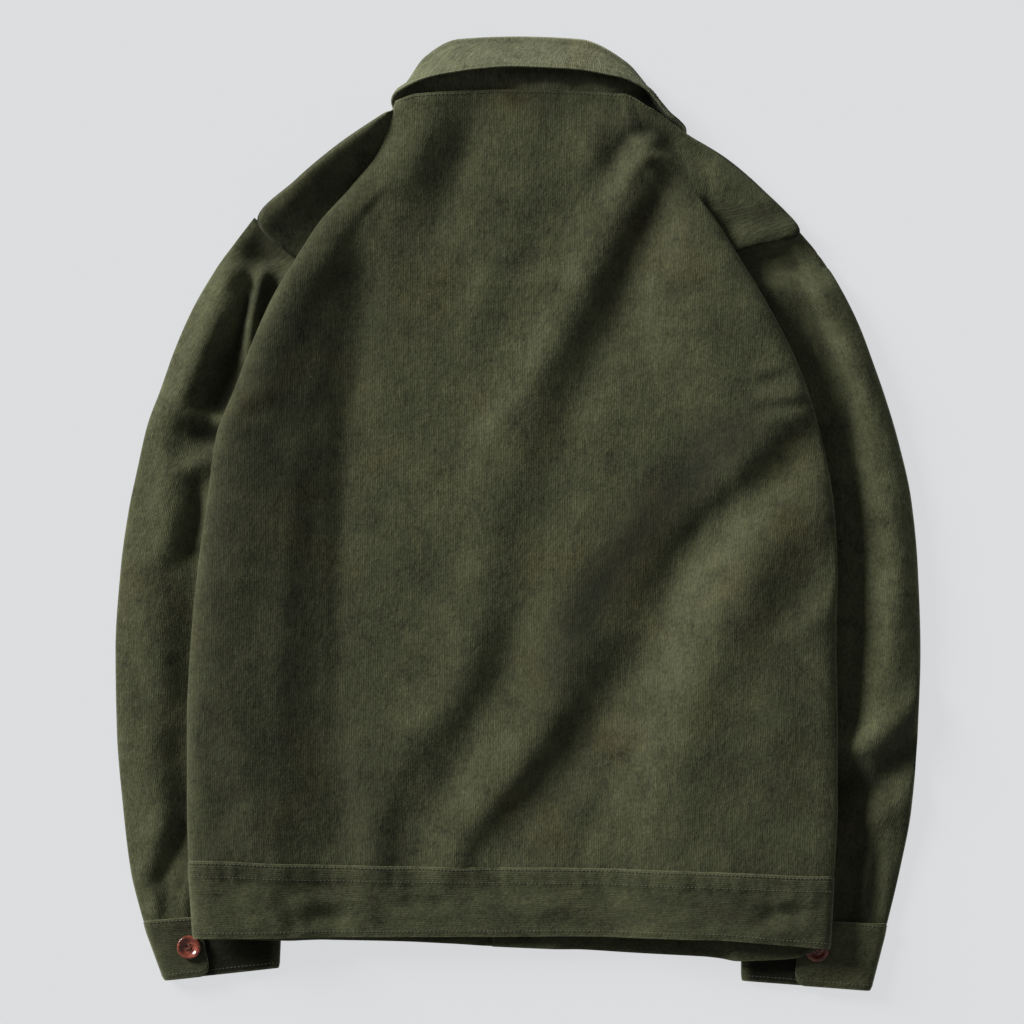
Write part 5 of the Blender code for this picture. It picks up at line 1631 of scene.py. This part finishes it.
class JACKET_OT_collar(JacketPiece, bpy.types.Operator):
    """Build the collar, its stand and its fall, with stitching along its edge"""

    bl_idname = "jacket.collar"
    bl_label = "Collar"

    def make(self, scene):
        s = scene.jacket_cloth
        piece, grid = collar_cloth(s)
        surface = s.band_thickness / MM / 2
        routes = [stitch_row(grid, *COLLAR_ROW, -1, surface)]
        seam = sew("stitching_collar", s, routes)


class JACKET_OT_buttons(JacketPiece, bpy.types.Operator):
    """Build the two cuff buttons and the six front buttons, sewn on through four holes"""

    bl_idname = "jacket.buttons"
    bl_label = "Buttons"

    def make(self, scene):
        s, c = scene.jacket_buttons, scene.jacket_cloth
        pattern = button_shape(s)
        material = finish_of("Red-brown horn")
        names = ["cuff_button_left", "cuff_button_right"] + [f"front_button_{n}" for n in range(1, 7)]
        routes = []
        level = (s.height - s.dish * 1.12) / MM + 0.15
        for i, node in enumerate(names):
            up = node.startswith("cuff")
            turn = math.radians(15 + 23 * i)
            placed_button(node.replace("button", "horn_button"), pattern, node, up, turn, material)
            low, high = (np.array(v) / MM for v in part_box(node))
            middle = (low + high) / 2
            z = low[2] + level if up else high[2] - level
            ahead = np.array([math.cos(turn), -math.sin(turn) if up else math.sin(turn), 0])
            beside = np.array([-ahead[1], ahead[0], 0])
            for side in (-1, 1):
                centre = np.array([middle[0], middle[1], z]) + beside * side * s.hole_spread / MM / 2
                ends = np.array([centre - ahead * 1.7, centre + ahead * 1.7])
                out = np.array([[0, 0, 1 if up else -1]] * 2, float)
                routes.append((ends, out))
        bpy.data.objects.remove(pattern)
        shape = stitch_shape(0.0033, c.thread_radius * 1.3)
        thread = stitching("button_thread", routes, 3.4, finish_of("Olive thread"), shape)


VIEW_PLANE = 0.015  # height above the floor at which the camera's view width is measured
FLOOR_DROP = 0.0002  # the floor lies this far under the jacket, so that they never touch
LAMP_AWAY = 3.0  # how far the main light's object stands, which doesn't change its light


class JACKET_OT_stage(JacketPiece, bpy.types.Operator):
    """Build the pale floor, the soft light from the upper left and the camera straight above"""

    bl_idname = "jacket.stage"
    bl_label = "Stage"

    def make(self, scene):
        s = scene.jacket_stage
        bpy.ops.object.select_all(action="DESELECT")
        bpy.ops.mesh.primitive_plane_add(size=8, location=(0, 0, -FLOOR_DROP))
        floor = bpy.context.object
        floor.name = "floor"
        paper = bpy.data.materials.new("Pale floor")
        paper.use_nodes = True
        shader = paper.node_tree.nodes["Principled BSDF"]
        shader.inputs["Base Color"].default_value = (*[c * s.floor_share for c in s.floor], 1)
        shader.inputs["Roughness"].default_value = 1.0
        shader.inputs["Specular IOR Level"].default_value = 0.0
        shader.inputs["Emission Color"].default_value = (*s.floor, 1)
        shader.inputs["Emission Strength"].default_value = s.floor_glow
        floor.data.materials.append(paper)
        sun = bpy.data.lights.new("Main light", "SUN")
        sun.energy = s.sun_power
        sun.angle = s.sun_spread
        sun.color = (1.0, 0.985, 0.96)
        lamp = bpy.data.objects.new("Main light", sun)
        scene.collection.objects.link(lamp)
        flat = math.cos(s.sun_height)
        way = Vector((flat * math.cos(s.sun_from), flat * math.sin(s.sun_from), math.sin(s.sun_height)))
        lamp.rotation_euler = way.to_track_quat("Z", "Y").to_euler()
        lamp.location = way * LAMP_AWAY
        world = bpy.data.worlds.new("Studio")
        world.use_nodes = True
        background = world.node_tree.nodes["Background"]
        background.inputs["Color"].default_value = (0.95, 0.98, 1.0, 1)
        background.inputs["Strength"].default_value = s.fill_power
        scene.world = world
        lens = bpy.data.cameras.new("Camera")
        lens.lens = lens.sensor_width * (s.camera_height - VIEW_PLANE) / s.view_width
        lens.clip_end = 50
        camera = bpy.data.objects.new("Camera", lens)
        camera.location = (s.centre_x, s.centre_y, s.camera_height)
        scene.collection.objects.link(camera)
        scene.camera = camera
        scene.view_settings.view_transform = "Standard"
        scene.view_settings.look = "None"


OPERATORS = (
    JACKET_OT_stage,
    JACKET_OT_fronts,
    JACKET_OT_back,
    JACKET_OT_sleeves,
    JACKET_OT_waistband,
    JACKET_OT_cuffs,
    JACKET_OT_collar,
    JACKET_OT_buttons,
)


class JACKET_PT_panel(bpy.types.Panel):
    """Lists the jacket's pieces and their sizes"""

    bl_label = "Corduroy jacket"
    bl_space_type = "VIEW_3D"
    bl_region_type = "UI"
    bl_category = "Jacket"

    def draw(self, context):
        for operator in OPERATORS:
            self.layout.operator(operator.bl_idname)
        for group in ("jacket_cloth", "jacket_buttons", "jacket_stage"):
            box = self.layout.box()
            for name in getattr(context.scene, group).__annotations__:
                box.prop(getattr(context.scene, group), name)


CLASSES = (JacketCloth, JacketButtons, JacketStage, *OPERATORS, JACKET_PT_panel)


def register():
    for each in CLASSES:
        bpy.utils.register_class(each)
    bpy.types.Scene.jacket_cloth = bpy.props.PointerProperty(type=JacketCloth)
    bpy.types.Scene.jacket_buttons = bpy.props.PointerProperty(type=JacketButtons)
    bpy.types.Scene.jacket_stage = bpy.props.PointerProperty(type=JacketStage)


def unregister():
    del bpy.types.Scene.jacket_cloth
    del bpy.types.Scene.jacket_buttons
    del bpy.types.Scene.jacket_stage
    for each in reversed(CLASSES):
        bpy.utils.unregister_class(each)


def main():
    register()
    for operator in OPERATORS:
        name = operator.bl_idname.split(".")[1]
        getattr(bpy.ops.jacket, name)()


if __name__ == "__main__":
    main()
